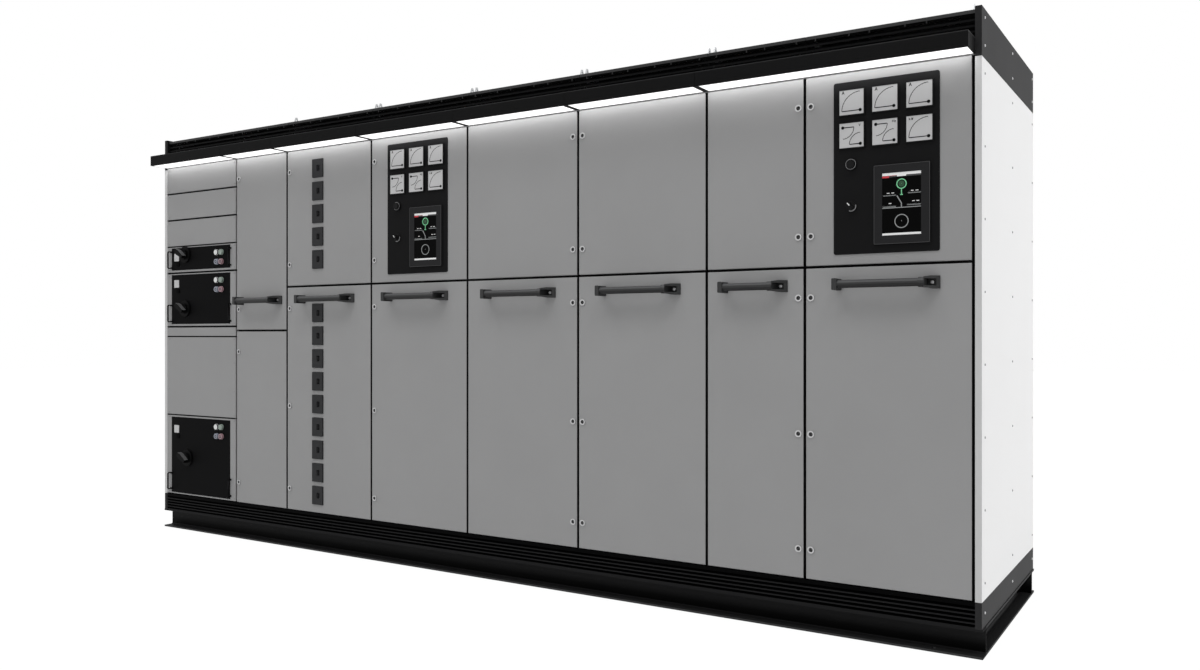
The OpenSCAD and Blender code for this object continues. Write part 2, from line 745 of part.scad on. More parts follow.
// A door leaf: folded pan with two knuckle blocks, bored for the hinge pins, and its locks.
module leaf(c, upper) {
    x0 = leaf_x0(c);
    x1 = leaf_x1(c);
    z0 = leaf_z0(c, upper);
    z1 = leaf_z1(c, upper);
    block_h = hinge_grip + 4;
    difference() {
        union() {
            difference() {
                leaf_block(x0, x1, z0, z1);
                span([x0 + sheet, sheet, z0 + sheet], [x1 - sheet, leaf_t + 1, z1 - sheet]);
            }
            for (z = [z0 + sheet - tiny, z1 - sheet - block_h + tiny])
                span([hinge_x(c) - knuckle_w / 2 - tiny, sheet - tiny, z],
                     [hinge_x(c) + knuckle_w / 2 + tiny, leaf_t, z + block_h]);
        }
        for (z = [z0 - 1, z1 - hinge_grip - 1])
            translate([hinge_x(c), hinge_y, z]) cylinder(d = hinge_d + 2 * hinge_play, h = hinge_grip + 2);
        if (c == 3)
            for (k = [0 : (upper ? upper_noses : lower_noses) - 1])
                feeder_cut((upper ? upper_first_z : lower_first_z) - k * nose_pitch);
        if (upper && (c == 4 || c == 8))
            span([panel_mid(c) - panel_w / 2 + recess, -1, panel_top - panel_h + recess],
                 [panel_mid(c) + panel_w / 2 - recess, sheet + 1, panel_top - recess]);
    }
    for (z = lock_rows(c, upper)) lock(lock_x(c), z);
}

module feeder_cut(z) {
    span([feeder_x - nose_w / 2 - nose_play, -1, z - nose_h / 2 - nose_play],
         [feeder_x + nose_w / 2 + nose_play, leaf_t + 1, z + nose_h / 2 + nose_play]);
}

module door(c, upper) { color("#8b8c8e") at_face() leaf(c, upper); }
module door_2_upper() door(2, true);
module door_2_lower() door(2, false);
module door_3_upper() door(3, true);
module door_3_lower() door(3, false);
module door_4_upper() door(4, true);
module door_4_lower() door(4, false);
module door_5_upper() door(5, true);
module door_5_lower() door(5, false);
module door_6_upper() door(6, true);
module door_6_lower() door(6, false);
module door_7_upper() door(7, true);
module door_7_lower() door(7, false);
module door_8_upper() door(8, true);
module door_8_lower() door(8, false);

// Plain end of a pull bar: a block from the door to just in front of the bar.
module plain_end() {
    translate([bracket_w / 2, 0, 0]) upright(-bar_reach - bar_d / 2 - 2, bar_reach + bar_d / 2 + 2)
        round_plate(bracket_w, bracket_h - 2, 4);
}

// Screwed end: a collar, and a wedge that slopes down to the door with a deep seat for its screw.
module screw_end() {
    l = screw_end_l;
    collar_l = 20;
    collar_r = bar_d / 2 + 3;
    front = bar_reach + collar_r;
    h = bracket_h / 2;
    difference() {
        intersection() {
            union() {
                translate([0, -bar_reach, 0]) rotate([0, 90, 0]) cylinder(r = collar_r, h = l);
                span([8, -bar_reach, -collar_r], [l, 0, collar_r]);
                upright(-front, front)
                    polygon([[collar_l, -collar_r], [l - 24, -h], [l, -h], [l, h], [l - 24, h], [collar_l, collar_r]]);
            }
            // Plan outline of the wedge.
            translate([0, 0, -h]) linear_extrude(2 * h)
                polygon([[0, -front - 1], [collar_l, -front - 1], [l, -5], [l, 0], [0, 0]]);
        }
        span([l - 42, -front - 2, -12], [l - 9, -4, 12]);
    }
}

module pull_bar(c, l) {
    color("#3b3d40") at_face() translate([centre_x(c) - l / 2 + bar_shift, 0, bar_z]) {
        translate([bracket_w + seam, -bar_reach, 0]) rotate([0, 90, 0])
            cylinder(d = bar_d, h = l - bracket_w - screw_end_l - 2 * seam);
        plain_end();
        translate([l - screw_end_l, 0, 0]) screw_end();
    }
}
module pull_bar_2() pull_bar(2, tall_bar_l);
module pull_bar_3() pull_bar(3, bar_l);
module pull_bar_4() pull_bar(4, bar_l);
module pull_bar_5() pull_bar(5, bar_l);
module pull_bar_6() pull_bar(6, bar_l);
module pull_bar_7() pull_bar(7, short_bar_l);
module pull_bar_8() pull_bar(8, bar_l);

// Places a child by its distances from an instrument panel's top left corner.
function panel_mid(c) = centre_x(c) + panel_shift;
module on_panel(c, x, drop) { translate([panel_mid(c) - panel_w / 2 + x, 0, panel_top - drop]) children(); }

// Centres of the six meters, as distances from the panel's top left corner.
function meter_x(k) = panel_w / 2 + (k - 1) * meter_pitch_x;
function meter_z(row) = meter_drop + row * meter_pitch_z;
housing_gap = 0.5;

module instrument_panel(c) {
    color("#121314") at_face() difference() {
        translate([panel_mid(c), 0, panel_top - panel_h / 2]) upright(-panel_t, panel_t)
            round_plate(panel_w, panel_h, panel_r);
        for (k = [0 : 2], row = [0, 1])
            on_panel(c, meter_x(k), meter_z(row)) span_hole(meter_w - 4 + 2 * housing_gap, meter_w - 4 + 2 * housing_gap);
        on_panel(c, display_side, display_drop)
            span_hole(display_w - 12 + 2 * housing_gap, display_h - 12 + 2 * housing_gap);
        for (drop = [button_drop, knob_drop])
            on_panel(c, switch_x, drop) rod_y(0, 0, -panel_t - 1, 1, shank_d + 2 * shank_play);
    }
}

shank_d = 16;
shank_play = 0.1;
module span_hole(w, h) { span([-w / 2, -panel_t - 1, -h / 2], [w / 2, 1, h / 2]); }
module instrument_panel_4() instrument_panel(4);
module instrument_panel_8() instrument_panel(8);

// A square meter: narrow bezel round a sunk dial, and the housing behind it.
module meter() {
    rise = 7;
    m = meter_w / 2;
    dial = m - 3.75;
    difference() {
        span([-m, -panel_t - rise, -m], [m, -panel_t, m]);
        span([-dial, -panel_t - rise - 1, -dial], [dial, -panel_t - rise + 1, dial]);
    }
    span([-m + 2, -panel_t - tiny, -m + 2], [m - 2, 52, m - 2]);
}

// The display: bezel with a recessed screen, its housing behind.
module display() {
    rise = 9;
    w = display_w / 2;
    h = display_h / 2;
    difference() {
        span([-w, -panel_t - rise, -h], [w, -panel_t, h]);
        span([-w + 29.5, -panel_t - rise - 1, -h + 29.5], [w - 29.5, -panel_t - rise + 1.5, h - 29.5]);
    }
    span([-w + 6, -panel_t - tiny, -h + 6], [w - 6, 45, h - 6]);
}

module meters(c) {
    color("#e8e9ea") at_face() for (k = [0 : 2], row = [0, 1]) on_panel(c, meter_x(k), meter_z(row)) meter();
    color("#26282a") at_face() on_panel(c, display_side, display_drop) display();
}
module meters_4() meters(4);
module meters_8() meters(8);

// Push-button: cap with a domed rim and the shank through the panel.
module push_button(c) {
    color("#1a1b1c") at_face() on_panel(c, switch_x, button_drop) {
        rod_y(0, 0, -panel_t - 16, -panel_t - button_travel - 0.3, button_d);
        rod_y(0, 0, -panel_t - button_travel - 0.3 - tiny, 20, shank_d);
    }
}
module push_button_4() push_button(4);
module push_button_8() push_button(8);

// Selector: round skirt and a raised grip with its pointer.
module selector(c) {
    color("#1a1b1c") at_face() on_panel(c, switch_x, knob_drop) {
        rod_y(0, 0, -panel_t - 8, -panel_t - 0.3, knob_d);
        rotate([0, -40, 0]) span([-4, -panel_t - 22, -knob_d / 2 + 1], [4, -panel_t - 8 + tiny, knob_d / 2 - 1]);
        rod_y(0, 0, -panel_t - 0.3 - tiny, 20, shank_d);
    }
}
module selector_4() selector(4);
module selector_8() selector(8);

// Pull grip of a unit: a flat strap on two bent lugs whose feet lie on the front's edge.
module grip(s, z0, l) {
    w = unit_w / 2;
    t = 6;
    bend = 9;
    inner = s * (w - 8);
    a = s > 0 ? w + 5 : -w - 11;
    b = a + t;
    span([a, -grip_y, z0 + bend + seam], [b, -grip_y + t, z0 + l - bend - seam]);
    for (e = [0, 1]) translate([0, 0, z0 + e * l]) mirror([0, 0, e]) {
        translate([a, 0, 0]) rotate([90, 0, 90]) linear_extrude(t)
            polygon([[-3.5 + tiny, 0], [-grip_y + t, 0], [-grip_y, bend - 2], [-grip_y, bend], [-grip_y + t, bend],
                     [-grip_y + t + 3, t], [-3.5 + tiny, t]]);
        span([min(inner, a), -3.5, 0], [max(inner, b), -seam, bend]);
    }
}

// A withdrawable unit: front plate, closed case with runners, pilot lights and pull grips.
module unit(n) {
    w = unit_w / 2;
    z0 = unit_z0(n);
    h = unit_h[n];
    cw = case_w / 2;
    hub = rotary_z(n);
    color("#1a1b1c") at_face() translate([unit_x, 0, 0]) {
        difference() {
            union() {
                span([-w, 0, z0], [w, front_t, z0 + h]);
                span([-cw, front_t - tiny, z0 + 2], [cw, unit_d, z0 + h - 2]);
            }
            rod_y(rotary_x[n], hub, -1, front_t + 20, shank_d + 2 * shank_play);
        }
        // Runners under the case.
        for (s = [-1, 1]) span([s * (cw - 20) - runner_w / 2, partition_y, z0 - case_foot + seat_play],
                               [s * (cw - 20) + runner_w / 2, unit_d, z0 + 2]);
        for (s = [-1, 1]) grip(s, z0 + grip_rise[n], grip_l[n]);
    }
    color("#d9dadb") at_face() translate([unit_x, 0, 0]) {
        for (x = light_x, up = [0, 1]) {
            rod_y(x, z0 + h - 37 - (1 - up) * 51, -4, 0, 32);
            rod_y(x, z0 + h - 37 - (1 - up) * 51, -12, -4, 29);
        }
    }
}

function rotary_z(n) = unit_z0(n) + (n == 2 ? 200 : rotary_rise);
module unit_1() unit(0);
module unit_2() unit(1);
module unit_3() unit(2);

// Rotary handle: stepped base, tapered grip at its rest angle, and the shank in the unit front.
module unit_handle(n) {
    color("#101112") at_face() translate([unit_x + rotary_x[n], 0, rotary_z(n)]) {
        rod_y(0, 0, -10, -0.3, rotary_d);
        rod_y(0, 0, -20, -10 + tiny, rotary_d * 0.62);
        rotate([0, -58, 0]) upright(-44, 24 + tiny)
            polygon([[-9, -30], [9, -30], [14, 20], [10, 44], [-10, 44], [-14, 20]]);
        rod_y(0, 0, -0.3 - tiny, front_t + 16, shank_d);
    }
}
module unit_handle_1() unit_handle(0);
module unit_handle_2() unit_handle(1);
module unit_handle_3() unit_handle(2);

base_frame();
plinth_grille();
frame_posts();
frame_rails();
partition_walls();
compartment_shelves();
mounting_plates();
side_panel_left();
side_panel_right();
side_fascias();
roof_plates();
top_grille();
light_hood();
light_diffusers();
lifting_eyes();
rear_covers();
gland_plates();
column_1_panels();
main_busbars();
busbar_supports();
power_breakers();
feeder_breakers();
hinge_pins();
door_2_upper();
door_2_lower();
door_3_upper();
door_3_lower();
door_4_upper();
door_4_lower();
door_5_upper();
door_5_lower();
door_6_upper();
door_6_lower();
door_7_upper();
door_7_lower();
door_8_upper();
door_8_lower();
pull_bar_2();
pull_bar_3();
pull_bar_4();
pull_bar_5();
pull_bar_6();
pull_bar_7();
pull_bar_8();
instrument_panel_4();
instrument_panel_8();
meters_4();
meters_8();
push_button_4();
push_button_8();
selector_4();
selector_8();
unit_1();
unit_2();
unit_3();
unit_handle_1();
unit_handle_2();
unit_handle_3();
feeder_toggles_upper();
feeder_toggles_lower();
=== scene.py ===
# %% [markdown]
# # A row of low-voltage switchgear
# This lesson dresses a row of eight steel columns. The row comes from the factory as a welded base, a
# frame of posts, sheet doors and bought-in instruments, and each of those has its own finish. The shapes
# and the moving bodies are fixed already, so here every surface gets its finish, and the small parts that
# a drawing leaves out, such as screws, dial marks and screens, are worked out as surfaces with numpy.

import bpy
import numpy as np
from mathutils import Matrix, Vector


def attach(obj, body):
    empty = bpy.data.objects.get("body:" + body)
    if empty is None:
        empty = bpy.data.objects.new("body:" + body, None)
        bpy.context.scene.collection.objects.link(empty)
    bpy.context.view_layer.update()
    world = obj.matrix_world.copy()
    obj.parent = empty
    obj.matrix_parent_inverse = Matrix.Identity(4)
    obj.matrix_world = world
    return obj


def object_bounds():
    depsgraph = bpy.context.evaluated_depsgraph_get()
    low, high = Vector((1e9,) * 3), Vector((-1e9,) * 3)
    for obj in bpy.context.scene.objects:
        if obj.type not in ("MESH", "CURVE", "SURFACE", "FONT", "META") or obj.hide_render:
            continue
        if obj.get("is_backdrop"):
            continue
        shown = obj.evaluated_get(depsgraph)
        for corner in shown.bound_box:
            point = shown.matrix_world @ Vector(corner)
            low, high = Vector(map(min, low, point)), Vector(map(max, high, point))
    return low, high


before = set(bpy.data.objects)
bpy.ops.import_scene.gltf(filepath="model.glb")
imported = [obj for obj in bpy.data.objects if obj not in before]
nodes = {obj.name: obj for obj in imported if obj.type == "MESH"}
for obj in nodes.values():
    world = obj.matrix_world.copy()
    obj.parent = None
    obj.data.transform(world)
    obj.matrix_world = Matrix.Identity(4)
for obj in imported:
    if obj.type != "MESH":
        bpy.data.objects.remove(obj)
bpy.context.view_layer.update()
scene = bpy.context.scene

# %% [markdown]
# The door faces lie in one plane, and nearly every detail is placed from it. Depths on the front are given
# as distances behind that plane, so a screw or a dial mark can be read against the drawing. The heights
# and the column edges are the ones that the cabinets are built to.

# %% Planes and columns
# Y of the door faces, and how far behind them the rear covers' screws sit
FACE = -0.4725
REAR = 1.047
# X of the outside of the right end panel, and Z of the sill and of the hood's underside
END_X = 2.222
SILL_Z = 0.19
HEADER_Z = 2.04
# X of the edges of the columns
EDGES = np.array([-2.2, -1.6, -1.2, -0.6, 0.0, 0.6, 1.2, 1.6, 2.2])


def centre(column):
    """Middle of a column, counted from 1 on the left: the mean of its two edges."""
    return (EDGES[column - 1] + EDGES[column]) / 2


print("column centres", [round(float(centre(c)), 2) for c in range(1, 9)])

# %% [markdown]
# The camera stands to the right of the row at chest height and looks level across it, so uprights stay
# upright and the doors shrink towards the far end. A level camera with no shift is how such catalogue
# pictures are usually made, and the lens is a moderate wide angle.

# %% The camera
camera_data = bpy.data.cameras.new("camera")
camera_data.sensor_width = 36.0
camera_data.lens = 30.04
camera_data.clip_end = 200.0
camera = bpy.data.objects.new("camera", camera_data)
camera.location = (2.9191, -4.0015, 1.0913)
camera.rotation_euler = (np.radians(90.0), 0.0, np.radians(32.05))
scene.collection.objects.link(camera)
scene.camera = camera
scene.view_settings.view_transform = "Standard"
print("camera at", [round(v, 3) for v in camera.location])

# %% [markdown]
# A surface here is a grid: rows of points, each row closed or open, with a face between each four
# neighbours. One function turns any such grid into a list of faces, and another one puts the points and
# the faces into a mesh. Doing it once for whole arrays is quicker than a loop and keeps each shape short.


# %% Grids, faces and meshes
def grid_faces(rows, columns, closed=True):
    """Faces of a grid: (i, j) joins (i, j+1), (i+1, j+1) and (i+1, j). Closed rows join end to start."""
    i = np.arange(rows - 1)[:, None] * columns
    j = np.arange(columns if closed else columns - 1)[None, :]
    k = (j + 1) % columns
    return np.stack([i + j, i + k, i + columns + k, i + columns + j], -1).reshape(-1, 4)


def tube_faces(rows, columns):
    """Faces of a closed tube: the grid's own faces, and one many-sided face over each end row."""
    ends = [list(range(columns))[::-1], list(range((rows - 1) * columns, rows * columns))]
    return grid_faces(rows, columns).tolist() + ends


def joined(parts):
    """Several (points, faces) as one: each part's face numbers are raised by the points before it."""
    points, faces, size = [], [], 0
    for p, f in parts:
        points.append(p.reshape(-1, 3))
        faces += [[v + size for v in face] for face in f]
        size += len(points[-1])
    return np.concatenate(points), faces


FINISHES = {}
SMOOTH_ANGLE = np.radians(30.0)


def add_piece(name, parts, finish, body):
    """Makes one mesh of the parts, gives it its finish and lets it ride on its body."""
    points, faces = joined(parts)
    mesh = bpy.data.meshes.new(name)
    mesh.from_pydata(points.tolist(), [], faces)
    mesh.polygons.foreach_set("use_smooth", np.ones(len(mesh.polygons), bool))
    mesh.set_sharp_from_angle(angle=SMOOTH_ANGLE)
    mesh.materials.append(FINISHES[finish])
    piece = bpy.data.objects.new(name, mesh)
    scene.collection.objects.link(piece)
    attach(piece, body)
    print(name, len(mesh.polygons), "faces on", body)


# %% [markdown]
# The studio is a pale floor under a sky that is brighter overhead, so the hood shades the tops of the doors.
# Rays that leave towards the camera, a glossy face or glass see plain white instead of that sky.

# %% World
SKY_LEVEL = 0.46
HORIZON_SHARE = 0.25
OVERHEAD_SHARE = 1.75
WHITE = (1, 1, 1, 1)


def feed(tree, node, inputs):
    """Gives each input of a node, by name or number, a plain value or the output that it follows."""
    for name, value in inputs.items():
        if isinstance(value, bpy.types.NodeSocket):
            tree.links.new(value, node.inputs[name])
        else:
            node.inputs[name].default_value = value


def add(tree, kind, inputs):
    """Adds a node of a kind and feeds its inputs."""
    node = tree.nodes.new("ShaderNode" + kind)
    feed(tree, node, inputs)
    return node


def either(tree, first, second):
    """The larger of two values: 1 where the ray is of the one kind or the other."""
    larger = add(tree, "Math", {0: first, 1: second})
    larger.operation = "MAXIMUM"
    return larger.outputs[0]


def between(tree, share, low, high):
    """Number low + (high - low) x share, with the share kept from 0 to 1."""
    return add(tree, "MapRange", {"Value": share, "To Min": low, "To Max": high}).outputs["Result"]


world = bpy.data.worlds.new("studio")
scene.world = world
world.use_nodes = True
sky = world.node_tree
sky.nodes.clear()
direction = add(sky, "TexCoord", {})
height = add(sky, "SeparateXYZ", {0: direction.outputs["Generated"]})
strength = between(sky, height.outputs["Z"], SKY_LEVEL * HORIZON_SHARE, SKY_LEVEL * OVERHEAD_SHARE)
light_part = add(sky, "Background", {"Color": WHITE, "Strength": strength})
white_part = add(sky, "Background", {"Color": WHITE, "Strength": 1.0})
ray = add(sky, "LightPath", {})
seen = either(sky, ray.outputs["Is Camera Ray"], ray.outputs["Is Glossy Ray"])
seen_through = either(sky, seen, ray.outputs["Is Transmission Ray"])
choice = add(sky, "MixShader", {0: seen_through, 1: light_part.outputs[0], 2: white_part.outputs[0]})
add(sky, "OutputWorld", {0: choice.outputs[0]})
print("sky level", SKY_LEVEL)

# %% [markdown]
# A catalogue picture of a grey cabinet has no hard shadows. A large soft lamp stands low in front, and a
# second one lights the white end panel. A narrow one runs under the hood, as the tubes behind the diffusers
# do: an opal strip bright enough to whiten the doors would be too bright to look at. Three distant lamps
# stand high in front, left, middle and right. Each draws a soft shadow of a pull bar, and together they make
# the shallow arch of shade that hangs under it.


# %% Lamps
def soft_lamp(name, place, target, size, power):
    """A square area lamp that faces its target. Its light is wide enough to leave no hard edge."""
    data = bpy.data.lights.new(name, "AREA")
    data.shape = "SQUARE"
    data.size = size
    data.energy = power
    lamp = bpy.data.objects.new(name, data)
    lamp.location = place
    aim = Vector(target) - Vector(place)
    lamp.rotation_euler = aim.to_track_quat("-Z", "Y").to_euler()
    lamp.visible_camera = False
    lamp.visible_glossy = False
    scene.collection.objects.link(lamp)
    return lamp


def high_lamp(name, turn, tilt=30.0, blur=13.0, power=0.3):
    """A distant lamp, tilt degrees from overhead and turned from straight in front; blur is its width."""
    data = bpy.data.lights.new(name, "SUN")
    data.angle = np.radians(blur)
    data.energy = power
    lamp = bpy.data.objects.new(name, data)
    lamp.rotation_euler = (np.radians(tilt), 0.0, np.radians(turn))
    scene.collection.objects.link(lamp)


soft_lamp("front_lamp", (-0.8, -6.5, 1.0), (0.0, FACE, 0.9), 3.6, 43.0)
soft_lamp("end_lamp", (8.5, 1.2, 1.4), (END_X, 0.0, 1.1), 4.0, 220.0)
HOOD_LAMP_Y = FACE - 0.0235
HOOD_LAMP_WIDTH = 0.037
hood_lamp = soft_lamp("hood_lamp", (0.0, HOOD_LAMP_Y, HEADER_Z - 0.001), (0.0, HOOD_LAMP_Y, 0.0), 4.39, 1.45)
hood_lamp.data.shape = "RECTANGLE"
hood_lamp.data.size_y = HOOD_LAMP_WIDTH
hood_lamp.rotation_euler = (0.0, 0.0, 0.0)
high_lamp("high_lamp_left", -48.0)
high_lamp("high_lamp", 0.0)
high_lamp("high_lamp_right", 48.0)
print("two soft lamps, a narrow one under the hood and three high ones")

# %% [markdown]
# The floor is one wide sheet. Seen by the camera it is nearly white by itself and lets the soft shadow of
# the base show, and for the light that bounces off it, it is an ordinary pale floor.


# %% Floor
def floor_finish():
    """Pale diffuse floor. Camera and glossy rays get part of the white from the finish's own glow."""
    finish = bpy.data.materials.new("studio_floor")
    finish.use_nodes = True
    tree = finish.node_tree
    tree.nodes.clear()
    ray = add(tree, "LightPath", {})
    seen = either(tree, ray.outputs["Is Camera Ray"], ray.outputs["Is Glossy Ray"])
    plain = add(tree, "BsdfDiffuse", {"Color": (0.8, 0.8, 0.8, 1)})
    thin = add(tree, "BsdfDiffuse", {"Color": (0.07, 0.07, 0.07, 1)})
    glow = add(tree, "Emission", {"Strength": 0.96})
    both = add(tree, "AddShader", {0: thin.outputs[0], 1: glow.outputs[0]})
    pick = add(tree, "MixShader", {0: seen, 1: plain.outputs[0], 2: both.outputs[0]})
    add(tree, "OutputMaterial", {0: pick.outputs[0]})
    return finish


FLOOR_HALF = 30.0
FLOOR_Z = -0.0005
FLOOR_POINTS = 7
side = np.linspace(-FLOOR_HALF, FLOOR_HALF, FLOOR_POINTS)
floor_points = np.stack(np.broadcast_arrays(side[None, :], side[:, None], FLOOR_Z), -1)
floor_faces = grid_faces(FLOOR_POINTS, FLOOR_POINTS, closed=False)
floor_mesh = bpy.data.meshes.new("floor")
floor_mesh.from_pydata(floor_points.reshape(-1, 3).tolist(), [], floor_faces.tolist())
floor_mesh.materials.append(floor_finish())
floor = bpy.data.objects.new("floor", floor_mesh)
scene.collection.objects.link(floor)
floor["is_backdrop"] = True
print("floor", floor.dimensions[0], "m wide")

# %% [markdown]
# Nearly everything on a cabinet is coated sheet. Powder coat is sprayed dry and baked, and it sets in
# small soft lumps, about a millimetre across on a textured coat. So the finish is a noise bump of that
# size, a wide cloudy change of colour of a few hundredths, and a roughness that wanders with the cloud.
# Reading Object coordinates keeps the lumps the same size on a door and on a screw. Where a face lies
# deeper in shade towards its foot or its top, the same finish is darkened along its height.


# %% A finish with lumps and clouds
# Clouds to a metre, and how far the roughness wanders to each side
WIDE_SCALE = 3.2
ROUGH_WANDER = 0.06


def new_finish(name):
    """Adds an empty finish to the list. Gives its node tree, its Principled shader and Object coordinates."""
    FINISHES[name] = bpy.data.materials.new(name)
    FINISHES[name].use_nodes = True
    tree = FINISHES[name].node_tree
    place = add(tree, "TexCoord", {})
    return tree, tree.nodes["Principled BSDF"], place.outputs["Object"]


def noise(tree, place, scale, detail):
    """Cloudy noise from 0 to 1, with about as many clouds to a metre as the scale says."""
    return add(tree, "TexNoise", {"Vector": place, "Scale": scale, "Detail": detail}).outputs["Fac"]


def mixed(tree, share, low, high, blend="MIX"):
    """Colour low + (high - low) x share, or low x high where the blend says so."""
    tint = add(tree, "Mix", {})
    tint.data_type = "RGBA"
    tint.blend_type = blend
    feed(tree, tint, {"Factor": share, "A": low, "B": high})
    return tint.outputs["Result"]


def coated(name, colour, rough, grain, cloud=0.05, speck=0.0, metallic=0.0, specular=0.5):
    """Principled finish. Colour = base x (1 + cloud noise + speck noise); bump = fine noise of one lump size.
    The grain is the width and the depth of a lump in metres."""
    lump, depth = grain
    tree, shader, place = new_finish(name)
    wide = noise(tree, place, WIDE_SCALE, 4.0)
    fine = noise(tree, place, 1.0 / lump, 2.0)
    share = add(tree, "Math", {})
    share.operation = "MULTIPLY_ADD"
    feed(tree, share, {0: fine, 1: speck / max(cloud, 0.001), 2: wide})
    low = [c * (1 - cloud) for c in colour]
    high = [min(1.0, c * (1 + cloud)) for c in colour]
    bump = add(tree, "Bump", {"Strength": 0.5, "Distance": depth, "Height": fine})
    feed(tree, shader, {
        "Metallic": metallic,
        "Specular IOR Level": specular,
        "Base Color": mixed(tree, share.outputs[0], (*low, 1), (*high, 1)),
        "Roughness": between(tree, wide, rough - ROUGH_WANDER, rough + ROUGH_WANDER),
        "Normal": bump.outputs["Normal"],
    })


def coats(grain, rows):
    """Grey finishes of one grain. A row is name, grey, its blue part, roughness, cloud and shine."""
    for name, grey, blue, rough, cloud, shine in rows:
        coated(name, (grey, grey, blue), rough, grain, cloud=cloud, specular=shine)


def by_height(name, stops):
    """Lets a finish follow the height: colour x factor(z), straight between the (z, factor) stops."""
    tree = FINISHES[name].node_tree
    shader = tree.nodes["Principled BSDF"]
    low, high = stops[0][0], stops[-1][0]
    place = add(tree, "TexCoord", {})
    height = add(tree, "SeparateXYZ", {0: place.outputs["Object"]})
    share = add(tree, "MapRange", {"Value": height.outputs["Z"], "From Min": low, "From Max": high})
    ramp = add(tree, "ValToRGB", {"Fac": share.outputs["Result"]})
    points = ramp.color_ramp.elements
    for n, (z, factor) in enumerate(stops):
        at = (z - low) / (high - low)
        point = points[0] if n == 0 else points.new(at)
        point.position = at
        point.color = (factor, factor, factor, 1)
    points.remove(points[-1])
    plain = shader.inputs["Base Color"].links[0].from_socket
    feed(tree, shader, {"Base Color": mixed(tree, 1.0, plain, ramp.outputs["Color"], "MULTIPLY")})


# Width and depth of the lumps of each grain, in metres
DOOR_GRAIN = (0.0014, 0.00025)
SHEET_GRAIN = (0.0012, 0.0002)
DRAWER_GRAIN = (0.0009, 0.00015)
TAB_GRAIN = (0.0009, 0.0001)
FINE_GRAIN = (0.0008, 0.0001)
PLATED_GRAIN = (0.0005, 0.00003)
MOULD_GRAIN = (0.0006, 0.00006)
coated("door_coat", (0.34, 0.34, 0.342), 0.62, DOOR_GRAIN, speck=0.03, specular=0.12)
coats(FINE_GRAIN, (
    ("head_coat", 0.27, 0.272, 0.6, 0.05, 0.15),
    ("seal_rubber_and_gap_shade", 0.006, 0.006, 0.85, 0.1, 0.1),
))
coats(SHEET_GRAIN, (
    ("white_coat", 0.80, 0.802, 0.55, 0.02, 0.3),
    ("fascia_coat", 0.043, 0.044, 0.6, 0.05, 0.04),
    ("black_coat", 0.009, 0.0095, 0.5, 0.12, 0.03),
    ("base_coat", 0.016, 0.0165, 0.5, 0.12, 0.03),
    ("web_coat", 0.02, 0.0205, 0.5, 0.12, 0.03),
    ("edge_painted_highlight", 0.045, 0.046, 0.5, 0.1, 0.1),
    ("hood_coat", 0.04, 0.041, 0.5, 0.12, 0.03),
    ("fascia_fold_painted_shade", 0.03, 0.031, 0.6, 0.05, 0.04),
    ("white_fold_painted_shade", 0.63, 0.632, 0.55, 0.02, 0.3),
    ("shade_black", 0.0018, 0.0019, 0.6, 0.12, 0.02),
    ("roof_coat", 0.046, 0.047, 0.55, 0.1, 0.2),
))
# Painted shade: the floor channel's web darkens towards its foot.
by_height("web_coat", [(0.016, 0.03), (0.035, 0.12), (0.062, 0.85), (0.092, 1.0)])
# The hood's top edge, in the light, and the share of its tone that the shaded face below it keeps
EDGE_Z = HEADER_Z + 0.0515
SHADED = 0.235
by_height("hood_coat", [(HEADER_Z, SHADED), (EDGE_Z - 0.001, SHADED), (EDGE_Z, 1.0), (EDGE_Z + 0.0025, 1.0)])
coated("lock_steel", (0.6, 0.6, 0.605), 0.42, PLATED_GRAIN, cloud=0.08, metallic=0.25)
coated("lock_dark", (0.03, 0.03, 0.031), 0.5, MOULD_GRAIN, cloud=0.1, specular=0.2)
coated("unit_coat", (0.0045, 0.0045, 0.0048), 0.55, DRAWER_GRAIN, cloud=0.1, specular=0.025)
coated("tab_coat", (0.035, 0.035, 0.0355), 0.5, TAB_GRAIN, cloud=0.1, specular=0.2)
print("coats", list(FINISHES))

# %% [markdown]
# Inside, the frame is zinc-coated sheet. The zinc freezes in flat crystals, and each crystal is a little
# lighter or darker than its neighbours. A Voronoi cell pattern with one grey for each cell is just that.


# %% Zinc, copper and plated steel
def spangled(name, colour, cell, rough):
    """Metal with one tone for each Voronoi cell: tone = base x (0.85 to 1.1), and its own roughness."""
    tree, shader, place = new_finish(name)
    cells = add(tree, "TexVoronoi", {"Vector": place, "Scale": 1.0 / cell})
    tone = add(tree, "SeparateColor", {0: cells.outputs["Color"]})
    dark = [c * 0.85 for c in colour]
    light = [min(1.0, c * 1.1) for c in colour]
    feed(tree, shader, {
        "Metallic": 0.75,
        "Base Color": mixed(tree, tone.outputs[0], (*dark, 1), (*light, 1)),
        "Roughness": between(tree, tone.outputs[1], rough, rough + 0.15),
    })


ROLLED_GRAIN = (0.004, 0.00005)
SATIN_GRAIN = (0.0006, 0.00004)
spangled("zinc_sheet", (0.56, 0.57, 0.58), 0.014, 0.34)
coated("bar_copper", (0.72, 0.36, 0.2), 0.38, ROLLED_GRAIN, cloud=0.15, metallic=0.9)
coated("plated_steel", (0.55, 0.56, 0.57), 0.34, SATIN_GRAIN, cloud=0.08, metallic=0.85)
coated("screw_steel", (0.62, 0.62, 0.63), 0.4, PLATED_GRAIN, cloud=0.08, metallic=0.5)
print("metals ready")

# %% [markdown]
# The handles, knobs and breaker cases are moulded. A mould is spark-eroded to a fine even grain, so the
# plastic gets a smaller lump than the coat and a softer shine.

